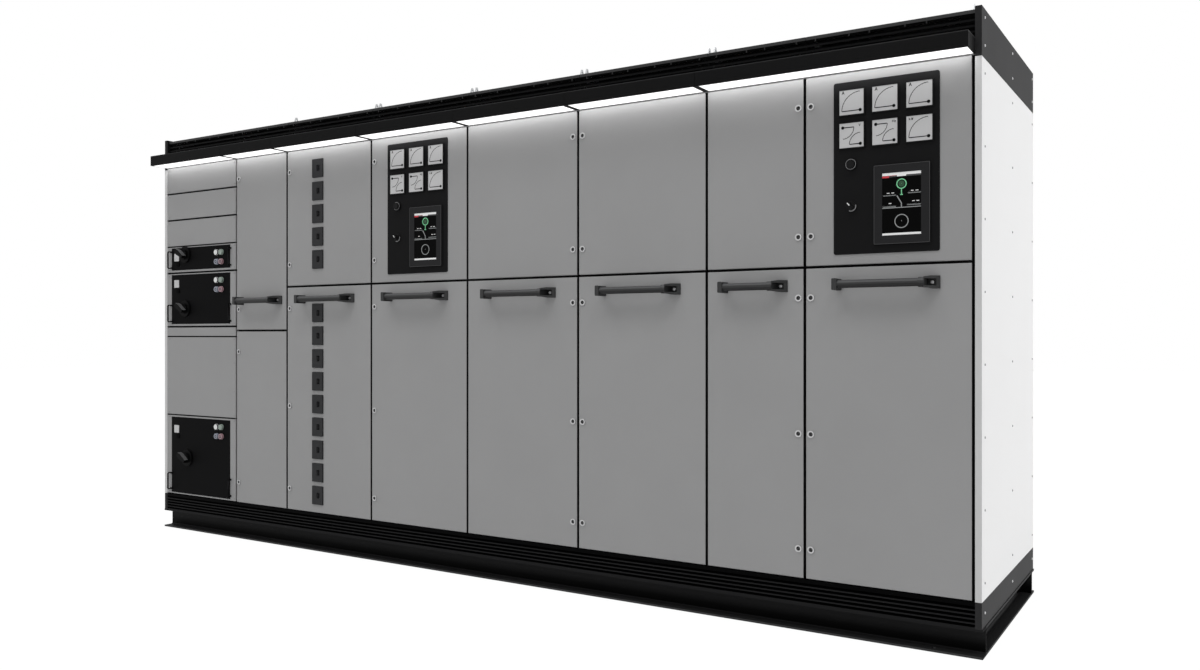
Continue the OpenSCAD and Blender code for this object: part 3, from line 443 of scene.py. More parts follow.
# %% Moulded plastics
CASE_GRAIN = (0.0006, 0.00008)
BAR_GRAIN = (0.0007, 0.0001)
GLOSS_GRAIN = (0.0009, 0.00006)
CARD_GRAIN = (0.0008, 0.00003)
RESIN_GRAIN = (0.001, 0.0001)
LENS_GRAIN = (0.002, 0.00005)
coated("case_plastic", (0.028, 0.0285, 0.03), 0.5, CASE_GRAIN, cloud=0.08, specular=0.12)
coats(MOULD_GRAIN, (
    ("toggle_plastic", 0.013, 0.014, 0.5, 0.1, 0.1),
    ("knob_plastic", 0.0045, 0.0048, 0.42, 0.1, 0.12),
    ("handle_plastic", 0.003, 0.0032, 0.45, 0.1, 0.05),
    ("bezel_plastic", 0.017, 0.018, 0.5, 0.06, 0.1),
    ("rim_painted_highlight", 0.3, 0.305, 0.4, 0.06, 0.3),
    ("edge_plastic", 0.075, 0.077, 0.45, 0.06, 0.2),
))
coated("bar_plastic", (0.028, 0.0285, 0.029), 0.48, BAR_GRAIN, cloud=0.1, specular=0.3)
coated("bar_painted_highlight", (0.055, 0.056, 0.058), 0.48, BAR_GRAIN, cloud=0.1, specular=0.4)
coated("bar_painted_shade", (0.02, 0.02, 0.0205), 0.48, BAR_GRAIN, cloud=0.1, specular=0.2)
coated("grip_painted_highlight", (0.1, 0.101, 0.103), 0.4, MOULD_GRAIN, cloud=0.15, specular=0.4)
coated("panel_gloss", (0.024, 0.024, 0.025), 0.45, GLOSS_GRAIN, cloud=0.08, specular=0.03)
# Painted light: the instrument panels are painted lighter towards their top edge, under the hood's lamp.
by_height("panel_gloss", [(1.4, 0.44), (1.94, 0.44), (2.001, 1.0)])
coats(CARD_GRAIN, (
    ("dial_white", 0.59, 0.595, 0.5, 0.02, 0.3),
    ("card_white", 0.6, 0.605, 0.5, 0.02, 0.2),
    ("dial_black", 0.006, 0.0065, 0.6, 0.05, 0.05),
))
coated("mould_red", (0.28, 0.035, 0.025), 0.5, RESIN_GRAIN, cloud=0.08)
coated("lens_white", (0.8, 0.81, 0.8), 0.3, LENS_GRAIN)
coated("lens_green", (0.27, 0.33, 0.29), 0.3, LENS_GRAIN)
coated("lens_blue", (0.3, 0.32, 0.38), 0.3, LENS_GRAIN)
coated("lens_red", (0.38, 0.24, 0.265), 0.3, LENS_GRAIN)
coated("lens_shade", (0.04, 0.04, 0.05), 0.35, LENS_GRAIN, specular=0.2)
print("plastics ready")

# %% [markdown]
# The diffusers under the hood are opal plastic. They have a glow of their own, just bright enough to look
# lit, while the narrow lamp below them lights the doors. The screens of the instrument panels glow a little.


# %% Lit finishes
OPAL_GRAIN = (0.003, 0.00003)
GLASS_GRAIN = (0.001, 0.00001)


def lit(name, colour, glow):
    """Opal finish with its own light: a diffuse base with soft noise and a plain emission."""
    coated(name, colour, 0.5, OPAL_GRAIN, cloud=0.02)
    tree = FINISHES[name].node_tree
    glowing = {"Emission Color": (*colour, 1), "Emission Strength": glow}
    feed(tree, tree.nodes["Principled BSDF"], glowing)


lit("strip_light", (1.0, 0.99, 0.985), 1.0)
coated("screen_black", (0.0015, 0.0015, 0.0015), 0.4, GLASS_GRAIN, specular=0.03)
lit("screen_white", (0.72, 0.72, 0.72), 0.25)
lit("screen_grey", (0.26, 0.27, 0.27), 0.2)
lit("screen_green", (0.16, 0.5, 0.26), 0.25)
lit("screen_dim_green", (0.004, 0.04, 0.012), 0.2)
lit("screen_red", (0.5, 0.03, 0.04), 0.2)
print("lit finishes ready")

# %% [markdown]
# The drawn nodes keep their meshes and only change their finish. Where one node has two finishes, such as
# a door with its plated locks, the finish is chosen face by face from where the face lies.


# %% Dress the nodes
def face_centres(node):
    """X, Y and Z of the centre of every face of a node, and its normals as an array of n x 3."""
    mesh = nodes[node].data
    middle = np.empty(len(mesh.polygons) * 3, np.float32)
    normal = np.empty(len(mesh.polygons) * 3, np.float32)
    mesh.polygons.foreach_get("center", middle)
    mesh.polygons.foreach_get("normal", normal)
    return *middle.reshape(-1, 3).T, normal.reshape(-1, 3)


def dress(node, finishes, choice=None):
    """Gives a node its finishes; choice is the number of the finish for each face."""
    mesh = nodes[node].data
    mesh.materials.clear()
    for name in finishes:
        mesh.materials.append(FINISHES[name])
    picked = np.zeros(len(mesh.polygons), np.int32) if choice is None else choice.astype(np.int32)
    mesh.polygons.foreach_set("material_index", picked)


PLAIN = {
    "zinc_sheet": ["partition_walls", "compartment_shelves", "mounting_plates", "gland_plates"],
    "door_coat": ["rear_covers", "column_1_panels"],
    "roof_coat": ["roof_plates"],
    "hood_coat": ["light_hood"],
    "strip_light": ["light_diffusers"],
    "plated_steel": ["lifting_eyes"],
    "bar_copper": ["main_busbars"],
    "mould_red": ["busbar_supports"],
    "case_plastic": ["power_breakers", "feeder_breakers"],
    "black_coat": ["hinge_pins"],
    "toggle_plastic": ["feeder_toggles_upper", "feeder_toggles_lower"],
}
for finish, plain_nodes in PLAIN.items():
    for node in plain_nodes:
        dress(node, [finish])
for node in nodes:
    if node.startswith("pull_bar"):
        # Painted light: a bar's upward faces get a painted highlight and its downward faces painted shade.
        up = face_centres(node)[3][:, 2]
        dress(node, ["bar_plastic", "bar_painted_highlight", "bar_painted_shade"], (up > 0.3) + (up < -0.2) * 2)
    elif node.startswith("instrument_panel"):
        dress(node, ["panel_gloss"])
    elif node.startswith(("push_button", "selector")):
        dress(node, ["knob_plastic"])
print("one finish each for", sum(len(plain_nodes) for plain_nodes in PLAIN.values()), "nodes")

# %% [markdown]
# The blades of the two grilles are one coat all over, but the light never reaches their sloping backs. The
# upright lips keep the coat's own tone and the rest gets painted shade.
# The upper band of each grille lies under an overhang, so it gets painted shade too.

# %% Grilles
# Z of the bands that lie under an overhang, one for each grille
SHADED_BANDS = ((0.17, 0.2), (2.172, 2.3))
for node, lip in (("plinth_grille", "base_coat"), ("top_grille", "black_coat")):
    x, y, z, normal = face_centres(node)
    behind = normal[:, 1] > -0.9
    for low, high in SHADED_BANDS:
        behind |= (z > low) & (z < high)
    # Painted shade on the blades' backs and on the bands under an overhang.
    dress(node, [lip, "shade_black"], behind)
    print(node, int(behind.sum()), "shaded faces")

# %% [markdown]
# The side panels are folded round the front corner, and the fold faces away from the end lamp, so its coat
# is painted a shade greyer, as painted shade; the front faces of the side fascias get painted shade the same
# way. The floor channel is rolled: its web lies deep in the shade of the flanges and gets painted shade that
# darkens towards its foot, while the front edge of the bottom flange gets a painted highlight where it
# catches the light, and the cut end of the front channel gets painted shade.

# %% Folds of the side panels and the floor channel
# Z of the web between the two flanges, and Y that the cut end of the front channel reaches
WEB_Z = (0.009, 0.091)
FLANGE_CUT_Y = FACE + 0.0585


def faces_front(node):
    """True for each face whose normal points forwards, within about 25 degrees."""
    return face_centres(node)[3][:, 1] < -0.9


# Painted shade: the front folds of the side panels and of the side fascias get a darker copy of their coat.
for node in ("side_panel_left", "side_panel_right"):
    dress(node, ["white_coat", "white_fold_painted_shade"], faces_front(node))
dress("side_fascias", ["fascia_coat", "fascia_fold_painted_shade"], faces_front("side_fascias"))
x, y, z, normal = face_centres("base_frame")
front = faces_front("base_frame")
# Painted shade on the web and on the cut end of the front channel, painted highlight on the bottom flange's
# front edge.
web = front & (z > WEB_Z[0]) & (z < WEB_Z[1])
edge = front & (z < WEB_Z[0])
cut = (normal[:, 0] > 0.9) & (y < FLANGE_CUT_Y)
dress("base_frame", ["base_coat", "web_coat", "edge_painted_highlight", "shade_black"], web + edge * 2 + cut * 3)
print(int(web.sum()), "web faces", int(edge.sum()), "edge faces", int(cut.sum()), "cut faces")

# %% [markdown]
# The posts are seen only through the gaps between the doors, and there they look black. Their front faces
# get painted shade in the black seal finish, and so do the rails behind the gap between two doors.

# %% Painted shade on the posts and rails
POST_DEPTH = 0.026
for node in ("frame_posts", "frame_rails"):
    x, y, z, normal = face_centres(node)
    # Painted shade: the front faces of posts and rails behind the gaps get the black seal finish.
    front = faces_front(node) & (abs(y - FACE - POST_DEPTH) < 0.002)
    dress(node, ["zinc_sheet", "seal_rubber_and_gap_shade"], front)
    print(node, int(front.sum()), "faces sealed")

# %% [markdown]
# A door is one coated pan with plated quarter-turn locks. The lock stands proud of the door's face, so its
# faces are found by their depth, and the recess round the driver and the driver's end are dark. The pan's
# upright edges get painted shade in the black seal finish, so the gap between two doors looks deep and dark.

# %% Doors and their locks
# How far the lock's recess and the end of its driver stand in front of the door
LOCK_RECESS = 0.0008
LOCK_DRIVER = 0.0026
door_nodes = sorted(n for n in nodes if n.startswith("door_"))
for node in door_nodes:
    x, y, z, normal = face_centres(node)
    proud = y < FACE - 0.0002
    recess = proud & (abs(y - FACE + LOCK_RECESS) < 0.0002)
    driver = proud & (abs(y - FACE + LOCK_DRIVER) < 0.0001)
    choice = proud.astype(int)
    choice[recess | driver] = 2
    # Painted shade: the pan's upright edges get the black seal finish.
    choice[(abs(normal[:, 0]) > 0.9) & ~proud] = 3
    dress(node, ["door_coat", "lock_steel", "lock_dark", "seal_rubber_and_gap_shade"], choice)
print(len(door_nodes), "doors")

# %% [markdown]
# Each withdrawable unit is a black coated drawer with four lamps. The lamps are found by their place on
# the front: a collar and a lens in one colour, white and green above, blue and red below. The wall of the
# white lens is in the shade of its neighbour, and so is dark. The bow of the right grip catches the light,
# so it gets a painted highlight in the lighter case plastic.

# %% Units and lamps
UNIT_X = centre(1) - 0.0045
UNIT_TOPS = {"unit_1": 1.580, "unit_2": 1.429, "unit_3": 0.627}
# Each lamp's place right of the middle and below the top of its unit, and the number of its finish
LENSES = ((0.1465, 0.037, 1), (0.1845, 0.037, 2), (0.1465, 0.088, 3), (0.1845, 0.088, 4))
UNIT_FINISHES = ["unit_coat", "lens_white", "lens_green", "lens_blue", "lens_red"]
UNIT_FINISHES += ["lens_shade", "case_plastic"]
# Radius of a lamp's collar, and the place and depth of the right grip's bow
COLLAR_R = 0.017
GRIP_X = UNIT_X + 0.21
GRIP_DEPTH = 0.019
for node, top in UNIT_TOPS.items():
    x, y, z, normal = face_centres(node)
    choice = np.zeros(len(x))
    for right, drop, finish in LENSES:
        away = np.hypot(x - UNIT_X - right, z - top + drop)
        choice[(away < COLLAR_R) & (y < FACE - 0.0003)] = finish
    choice[(choice == 1) & (normal[:, 1] > -0.7)] = 5
    # Painted highlight on the bow of the right grip.
    bow = (y < FACE - GRIP_DEPTH) & (x > GRIP_X) & (abs(normal[:, 0]) > 0.6)
    choice[bow] = 6
    dress(node, UNIT_FINISHES, choice)
    print(node, int((choice > 0).sum()), "lamp and bow faces")

# %% [markdown]
# The upper flank of a rotary handle's grip catches the light from above. So those faces, the ones that
# look up and to the right, get a painted highlight in a lighter plastic than the rest.

# %% Flanks of the rotary handles
PAINTED_HIGHLIGHT_SIDE = np.array([0.6, 0.0, 0.8])
GRIP_FOOT = 0.021
for n in (1, 2, 3):
    x, y, z, normal = face_centres(f"unit_handle_{n}")
    # Painted highlight on the grip's upper flank.
    flank = (y < FACE - GRIP_FOOT) & (normal @ PAINTED_HIGHLIGHT_SIDE > 0.5)
    dress(f"unit_handle_{n}", ["handle_plastic", "grip_painted_highlight"], flank)
    print("handle", n, int(flank.sum()), "painted_highlight faces")

# %% [markdown]
# A meter has a narrow black bezel round a white dial that is sunk one millimetre. The display has a dark
# moulded bezel. They are all one node because they are fixed to the same panel, and the display is the
# part that lies low and to the right.

# %% Meters and displays
# Left edge of each instrument panel by column, and the panels' upper edge
PANELS = {column: centre(column) - 0.189 for column in (4, 8)}
PANEL_TOP = 2.001
# Middle of the display, and the depths of its glass and of the meters' cards
DISPLAY_X = 0.246
DISPLAY_Z = PANEL_TOP - 0.4505
GLASS = -0.0105
CARD = -0.009
for column in PANELS:
    x, y, z, normal = face_centres(f"meters_{column}")
    screen = z < PANEL_TOP - 0.27
    glass = screen & (abs(y - FACE - GLASS) < 0.0005)
    dial = ~screen & (abs(y - FACE - CARD) < 0.0003) & (normal[:, 1] < -0.9)
    choice = screen.astype(int) + glass + dial * 3
    dress(f"meters_{column}", ["panel_gloss", "bezel_plastic", "screen_black", "dial_white"], choice)
    print("panel of column", column, int(screen.sum()), "display faces", int(dial.sum()), "dial faces")

# %% [markdown]
# Marks on a dial and lines on a screen are flat strips. A strip follows a path: at each point of the path
# its two edges lie half a width to each side, and it has a back and a front, so it is a thin closed band.


# %% Strips
def strip(path_points, width, back, front, closed=False):
    """Band along a path in the plane of the doors. Edge = point +/- half the width x the path's normal.
    The section has four corners: two edges, each at the back depth and at the front depth."""
    p = np.asarray(path_points, float)
    if closed:
        ahead = np.roll(p, -1, 0) - np.roll(p, 1, 0)
    else:
        ahead = np.gradient(p, axis=0)
    ahead /= np.linalg.norm(ahead, axis=1)[:, None]
    across = np.stack([-ahead[:, 1], ahead[:, 0]], 1) * width / 2
    corners = [(p - across, back), (p - across, front), (p + across, front), (p + across, back)]
    points = np.stack([np.stack([q[:, 0], np.full(len(q), FACE + y), q[:, 1]], 1) for q, y in corners], 1)
    if closed:
        points = np.concatenate([points, points[:1]])
        return points.reshape(-1, 3), grid_faces(len(points), 4).tolist()
    return points.reshape(-1, 3), tube_faces(len(points), 4)


def arc(x, z, radius, start, end, count=25):
    """Points on a circle: centre + radius x (cos, sin), from a start to an end angle in degrees."""
    a = np.radians(np.linspace(start, end, count))
    return np.stack([x + radius * np.cos(a), z + radius * np.sin(a)], 1)


def circle(x, z, radius, count=48):
    """Points of a whole circle, the last one a step short of the first."""
    return arc(x, z, radius, 0, 360 - 360 / count, count)


def line(x0, z0, x1, z1):
    """The two ends of a straight path."""
    return np.array([[x0, z0], [x1, z1]])


print("strip of", len(strip(arc(0, 0, 1, 0, 90), 0.1, 0, -1)[1]), "faces")

# %% [markdown]
# A panel meter for a switchboard has its pivot in one corner and a scale that sweeps a quarter turn, so
# that the needle stays long in a small square. Double meters have two short scales about two corners.
# The marks are printed on a card, so the strips stand only a fifth of a millimetre off it.

# %% Dial marks
# Depth of the ink's front, and the side of a dial
INK = -0.0092
DIAL = 0.0885
# The middle meter of the upper row, and the steps to the next column and row
METERS_X = 0.187
METERS_Z = PANEL_TOP - 0.075
STEP_X = 0.1195
STEP_Z = 0.1185
# Widths of the arc, a tick and the needle, a tick's length, and the radius of the pivot
ARC_W = 0.0021
TICK_W = 0.0006
NEEDLE_W = 0.0032
TICK_L = 0.0035
PIVOT_R = 0.0058
LETTERS = {
    "A": [[(0, 0), (0.5, 1), (1, 0)], [(0.2, 0.35), (0.8, 0.35)]],
    "V": [[(0, 1), (0.5, 0), (1, 1)]],
    "H": [[(0, 0), (0, 1)], [(1, 0), (1, 1)], [(0, 0.5), (1, 0.5)]],
    "z": [[(0, 0.6), (0.8, 0.6), (0, 0), (0.8, 0)]],
    "k": [[(0, 0), (0, 1)], [(0.7, 0.65), (0, 0.3)], [(0.2, 0.4), (0.8, 0)]],
    "W": [[(0, 1), (0.25, 0), (0.5, 0.8), (0.75, 0), (1, 1)]],
}


def letters(word, x, z, size):
    """Unit letters from straight strokes, each letter 0.7 of its height wide."""
    out = []
    for n, letter in enumerate(word):
        for stroke in LETTERS[letter]:
            q = np.array(stroke, float)
            ends = np.stack([x + (n + q[:, 0] * 0.75) * size * 0.9, z + q[:, 1] * size], 1)
            out += [strip(ends[k : k + 2], size * 0.18, CARD, INK) for k in range(len(ends) - 1)]
    return out


def scale(x, z, radius, start, end, ticks):
    """One scale: the arc, its ticks, the needle at rest along the scale's start, and the pivot."""
    marks = [strip(arc(x, z, radius, start, end), ARC_W, CARD, INK)]
    pivot = np.array([x, z])
    for a in np.radians(np.linspace(start, end, ticks)):
        out = np.array([np.cos(a), np.sin(a)])
        tick = np.array([pivot + out * radius, pivot + out * (radius - TICK_L)])
        marks.append(strip(tick, TICK_W, CARD, INK))
    away = np.radians(start)
    tip = [x + (radius - 0.001) * np.cos(away), z + (radius - 0.001) * np.sin(away)]
    marks.append(strip(np.array([pivot, tip]), NEEDLE_W, CARD, INK - 0.0002))
    marks.append(strip(circle(x, z, PIVOT_R / 2, 12), PIVOT_R, CARD, INK - 0.0004, closed=True))
    return marks


def single_dial(x, z):
    """Pivot low on the right, scale from the left round to the top."""
    return scale(x + 0.36 * DIAL, z - 0.345 * DIAL, 0.76 * DIAL, 180, 92, 11)


def double_dial(x, z):
    """Two half-size scales, one about the top left corner and one about the bottom right corner."""
    upper = scale(x - 0.36 * DIAL, z + 0.325 * DIAL, 0.46 * DIAL, 0, -88, 7)
    return upper + scale(x + 0.365 * DIAL, z - 0.365 * DIAL, 0.45 * DIAL, 180, 92, 7)


for column, left in PANELS.items():
    marks = []
    for row, words in enumerate((("A", "A", "A"), ("V", "Hz", "kW"))):
        for k, word in enumerate(words):
            x = left + METERS_X + (k - 1) * STEP_X
            z = METERS_Z - row * STEP_Z
            double = row == 1 and k < 2
            marks += double_dial(x, z) if double else single_dial(x, z)
            size = 0.0118 if len(word) == 1 and not double else 0.0085
            marks += letters(word, x + (0.3 if double else -0.39) * DIAL, z + 0.34 * DIAL, size)
    add_piece(f"dial_marks_{column}", marks, "dial_black", f"door_{column}_upper")

# %% [markdown]
# The display shows a one-line diagram: a source, a switch and a load, with bars of measured values beside
# them. It is a generic page, drawn with the same strips in a few colours, each colour as its own piece.

# %% Screens
# Depth of the lit lines' front, and the two sides of the page
LIT = -0.0107
SCREEN_W = 0.135
SCREEN_H = 0.219
# Left end and height of each bar of a measured value
VALUES = [(-0.38, 0.175), (-0.26, 0.175), (0.24, 0.195), (0.36, 0.195)]
VALUES += [(-0.33, 0.01), (0.27, 0.03), (0.38, 0.03)]


def screen_parts(x, z):
    """Strips of the page by colour. u and v count from the screen's middle, as shares of its two sides."""

    def bar(u0, v0, u1, v1, thick):
        path = line(x + u0 * SCREEN_W, z + v0 * SCREEN_H, x + u1 * SCREEN_W, z + v1 * SCREEN_H)
        return strip(path, thick, GLASS, LIT)

    def comb(u0, u1, v, count):
        teeth = [bar(u, v, u, v + 0.016, 0.0011) for u in np.linspace(u0, u1, count)]
        return [bar(u0, v, u1, v, 0.0016)] + teeth

    white = [bar(-0.5, 0.478, 0.5, 0.478, 0.0095), bar(-0.12, 0.447, 0.12, 0.447, 0.005)]
    white += [bar(-0.5, -0.482, 0.5, -0.482, 0.0075)]
    white += [bar(u, v, u + 0.07, v, 0.0024) for u, v in VALUES]
    grey = comb(-0.47, -0.15, 0.135, 9) + comb(0.17, 0.49, 0.158, 9)
    grey += comb(-0.48, -0.15, -0.045, 12) + comb(0.15, 0.49, -0.03, 12)
    grey += [bar(-0.5, -0.062, 0.5, -0.062, 0.0026), bar(-0.12, 0.13, -0.005, 0.01, 0.0034)]
    grey += [bar(-0.002, 0.012, -0.002, -0.06, 0.0034)]
    grey += [strip(circle(x, z - 0.28 * SCREEN_H, 0.17 * SCREEN_W), 0.003, GLASS, LIT, closed=True)]
    grey += [bar(0, -0.285, 0, -0.265, 0.0016)]
    source_z = z + 0.315 * SCREEN_H
    green = [strip(circle(x, source_z, 0.12 * SCREEN_W), 0.0036, GLASS, LIT - 0.0002, closed=True)]
    green += [bar(0, 0.235, 0, 0.15, 0.0032), bar(-0.035, 0.142, 0.035, 0.142, 0.0032)]
    green += [bar(0, 0.31, 0, 0.325, 0.002)]
    glow = [strip(circle(x, source_z, 0.04 * SCREEN_W), 0.08 * SCREEN_W, GLASS, LIT, closed=True)]
    red = [bar(-0.5, 0.437, -0.32, 0.437, 0.0065), bar(-0.32, 0.452, -0.13, 0.452, 0.0012)]
    dim = [bar(-0.32, 0.44, -0.13, 0.44, 0.0045), bar(0.14, 0.442, 0.5, 0.442, 0.0055)]
    return {"white": white, "dim": dim, "grey": grey, "green": green, "glow": glow, "red": red}


# The colours whose finish has a name of its own
SCREEN_FINISH = {"dim": "edge_plastic", "glow": "screen_dim_green"}
for column, left in PANELS.items():
    body = f"door_{column}_upper"
    for colour, parts in screen_parts(left + DISPLAY_X, DISPLAY_Z).items():
        finish = SCREEN_FINISH.get(colour, f"screen_{colour}")
        add_piece(f"screen_{colour}_{column}", parts, finish, body)

# %% [markdown]
# Screws, rings and collars are turned parts. Turning means one outline carried round an axis, so each is a
# grid of (position along the outline) by (angle). A dome with a small slot ring in its top needs few faces,
# which matters because the row has hundreds of screws.


# %% Turned shapes
def turned(outline, sides, axis):
    """Outline of (radius, height) pairs turned round an axis: point = radius x (cos, sin) + height x axis.
    The two directions across the axis are chosen so that the faces point outwards."""
    axis = np.asarray(axis, float)
    across = np.array([0.0, 0.0, 1.0]) if abs(axis[2]) < 0.5 else np.array([1.0, 0.0, 0.0])
    other = np.cross(axis, across)
    a = np.linspace(0, 2 * np.pi, sides, endpoint=False)
    r, h = np.asarray(outline, float).T
    wheel = np.cos(a)[:, None] * across + np.sin(a)[:, None] * other
    return r[:, None, None] * wheel[None] + h[:, None, None] * axis


# Outline of a screw head of radius 1, and the number of its sides
SCREW = np.array([(1.0, -0.15), (1.0, 0.12), (0.86, 0.36), (0.5, 0.5), (0.3, 0.5), (0.22, 0.28)])
SCREW_SIDES = 10


def screws(name, places, radius, axis, finish):
    """One fixed piece for a row of screw heads: the same small dome set down at each place."""
    head = turned(SCREW * radius, SCREW_SIDES, axis)
    faces = tube_faces(len(SCREW), SCREW_SIDES)
    add_piece(name, [(head + place, faces) for place in places], finish, "root")


print("one screw head has", len(tube_faces(len(SCREW), SCREW_SIDES)), "faces")

# %% [markdown]
# The end panels are held by three columns of screws, and the dark fascias above and below them by the same
# columns. On the white panel the heads are small, plated and a little darker than the coat.

# %% Screws of the end panels
SIDE_Y = FACE + np.array([0.05, 0.565, 1.02])
PANEL_Z = np.linspace(0.248, 1.980, 8)
FASCIA_Z = (0.147, 2.075, 2.170)
for name, sign in (("left", -1), ("right", 1)):
    on_panel = [(sign * END_X, y, z) for y in SIDE_Y for z in PANEL_Z]
    on_fascia = [(sign * END_X, y, z) for y in SIDE_Y for z in FASCIA_Z]
    screws(f"panel_screws_{name}", on_panel, 0.0045, (sign, 0, 0), "head_coat")
    screws(f"fascia_screws_{name}", on_fascia, 0.005, (sign, 0, 0), "screw_steel")

# %% [markdown]
# Each column has its own rear cover, held by a row of screws up each of its two sides.

# %% Screws of the rear covers
COVER_Z = np.linspace(0.14, 2.13, 8)
cover_x = np.column_stack([EDGES[:-1] + 0.02, EDGES[1:] - 0.02]).ravel()
rear = [(x, FACE + REAR, z) for x in cover_x for z in COVER_Z]
screws("rear_cover_screws", rear, 0.0045, (0, 1, 0), "screw_steel")

# %% [markdown]
# The blank panels of the first column have one small screw in each corner, and the surrounds of the three
# units have them too. The tallest panel has two more on each side.

# %% Screws of column 1
# Upper and lower edge of each panel and surround
BAYS = [(2.036, 1.895), (1.885, 1.745), (1.735, 1.5925), (1.5875, 1.446), (1.436, 1.143)]
BAYS += [(1.0805, 0.6435), (0.6385, 0.1965)]
CORNER_X = (EDGES[0] + 0.022, EDGES[1] - 0.017)
CORNER_IN = 0.012
corners = [(x, FACE, z) for top, low in BAYS for x in CORNER_X for z in (top - CORNER_IN, low + CORNER_IN)]
corners += [(x, FACE, z) for x in CORNER_X for z in (0.94, 0.785)]
screws("column_1_screws", corners, 0.0032, (0, -1, 0), "head_coat")

# %% [markdown]
# Between the panels of the first column lies a soft rubber profile that keeps dust out. It is extruded, so
# it is one D-shaped section carried along the gap: flat at the back and half round towards the front. The
# three narrow gaps are too small for that, and there a flat lip covers the gap from outside instead.


# %% Seals between the panels
def bar_along_x(section, x0, x1):
    """Section of (y, z) points carried from x0 to x1: a tube of two rows with many-sided ends."""
    section = np.asarray(section, float)
    ends = [np.column_stack([np.full(len(section), x), section]) for x in (x0, x1)]
    return np.concatenate(ends), tube_faces(2, len(section))


def d_section(y, z, depth, height, count=7):
    """Half ellipse towards the front and a straight back: y = front + depth x (1 - cos a) and
    z = middle + height / 2 x sin a."""
    a = np.radians(np.linspace(-90, 90, count))
    rounded = np.stack([y + depth * (1 - np.cos(a)), z + height / 2 * np.sin(a)], 1)
    back = np.array([[y + depth * 1.5, z + height / 2], [y + depth * 1.5, z - height / 2]])
    return np.concatenate([rounded, back])


def lip_section(z):
    """Flat lip over a narrow gap: 0.6 mm thick, and wider at the panels than in front."""
    return [(FACE - 0.0006, z + 0.0034), (FACE, z + 0.0038), (FACE, z - 0.0038), (FACE - 0.0006, z - 0.0034)]


# Middle of each gap in metres and its height in millimetres
GAPS = [(1.890, 10), (1.740, 10), (1.590, 5), (1.441, 10), (1.138, 10), (1.083, 5), (0.641, 5)]
NARROW = 5
SEAL_X = (EDGES[0] + 0.003, EDGES[1] - 0.006)
seals = [bar_along_x(d_section(FACE + 0.009, z, 0.004, gap / 1000 - 0.0006), *SEAL_X) for z, gap in GAPS]
seals += [bar_along_x(lip_section(z), *SEAL_X) for z, gap in GAPS if gap == NARROW]
add_piece("column_1_seals", seals, "seal_rubber_and_gap_shade", "root")

# %% [markdown]
# The hood is made in lengths, and a cap of black moulding hides each joint from below. It runs from the
# hood's front fold back to the doors, so it is the same kind of section, carried along Y instead.

# %% Caps under the joints of the hood
CAP_SECTION = [(-0.012, 0.0), (-0.0114, -0.0009), (0.0114, -0.0009), (0.012, 0.0)]
CAP_ENDS = (-0.1, -0.0012)
caps = []
for x in EDGES[1:7]:
    cap = [(x + u, FACE + y, HEADER_Z + w) for y in CAP_ENDS for u, w in CAP_SECTION]
    caps.append((np.array(cap), tube_faces(len(CAP_ENDS), len(CAP_SECTION))))
add_piece("hood_joint_caps", caps, "black_coat", "root")

# %% [markdown]
# Above the doors the header has a narrow folded lip. It fills most of the slot between the hood and the
# doors, and because the hood lights it, only a thin dark line is left there.

# %% Lip above the doors
LIP_Y = (FACE + 0.0008, FACE + 0.012)
LIP_Z = (2.0378, 2.0397)
section = [(LIP_Y[0], LIP_Z[0]), (LIP_Y[0], LIP_Z[1]), (LIP_Y[1], LIP_Z[1]), (LIP_Y[1], LIP_Z[0])]
lip = bar_along_x(section, EDGES[0] + 0.003, EDGES[-1] - 0.003)
add_piece("header_lip", [lip], "door_coat", "root")

# %% [markdown]
# Each unit carries a plain white card in a holder and a small socket for the release key under it. Both are
# flat plates with round corners and a slight bevel, worked out as three outlines: the back one, the front
# one, and one drawn in a little for the bevel.


# %% Cards and sockets
def round_outline(width, height, radius, per_corner=4):
    """Rounded rectangle about (0, 0): corner centre + radius x (cos, sin), a quarter turn at each corner."""
    a = np.radians(np.linspace(0, 90, per_corner))
    out = []
    for turn, (sx, sz) in enumerate(((1, 1), (-1, 1), (-1, -1), (1, -1))):
        angle = a + turn * np.pi / 2
        middle = np.array([sx * (width / 2 - radius), sz * (height / 2 - radius)])
        out.append(middle + radius * np.stack([np.cos(angle), np.sin(angle)], 1))
    return np.concatenate(out)


def plate(x, z, width, height, radius, back, front, bevel=0.0006):
    """Plate in the plane of the doors between two depths, its front edge bevelled."""
    rows = []
    for inset, depth in ((0.0, back), (0.0, front + bevel), (bevel, front)):
        q = round_outline(width - 2 * inset, height - 2 * inset, radius)
        rows.append(np.stack([x + q[:, 0], np.full(len(q), FACE + depth), z + q[:, 1]], 1))
    return np.concatenate(rows), tube_faces(3, len(rows[0]))


CARD_Z = {"unit_1": 1.529, "unit_2": 1.380, "unit_3": 0.561}
CARD_X = -2.113
SOCKET_X = -2.100
SOCKET_DROP = 0.040
for unit, z in CARD_Z.items():
    card = plate(CARD_X, z, 0.042, 0.043, 0.003, 0.0, -0.0022)
    add_piece(f"{unit}_card", [card], "card_white", unit)
    # Painted shade: the socket is a dark plate in the black shade finish, for the dark of the key's slot.
    socket = plate(SOCKET_X, z - SOCKET_DROP, 0.026, 0.024, 0.002, 0.0, -0.003)
    add_piece(f"{unit}_socket", [socket], "shade_black", unit)

# %% [markdown]
# A coloured lens gets a dark ring of painted shade round its bright middle. On the display, the bezel's
# front edge gets a painted highlight a little lighter than the bezel. Both are narrow strips on closed paths.

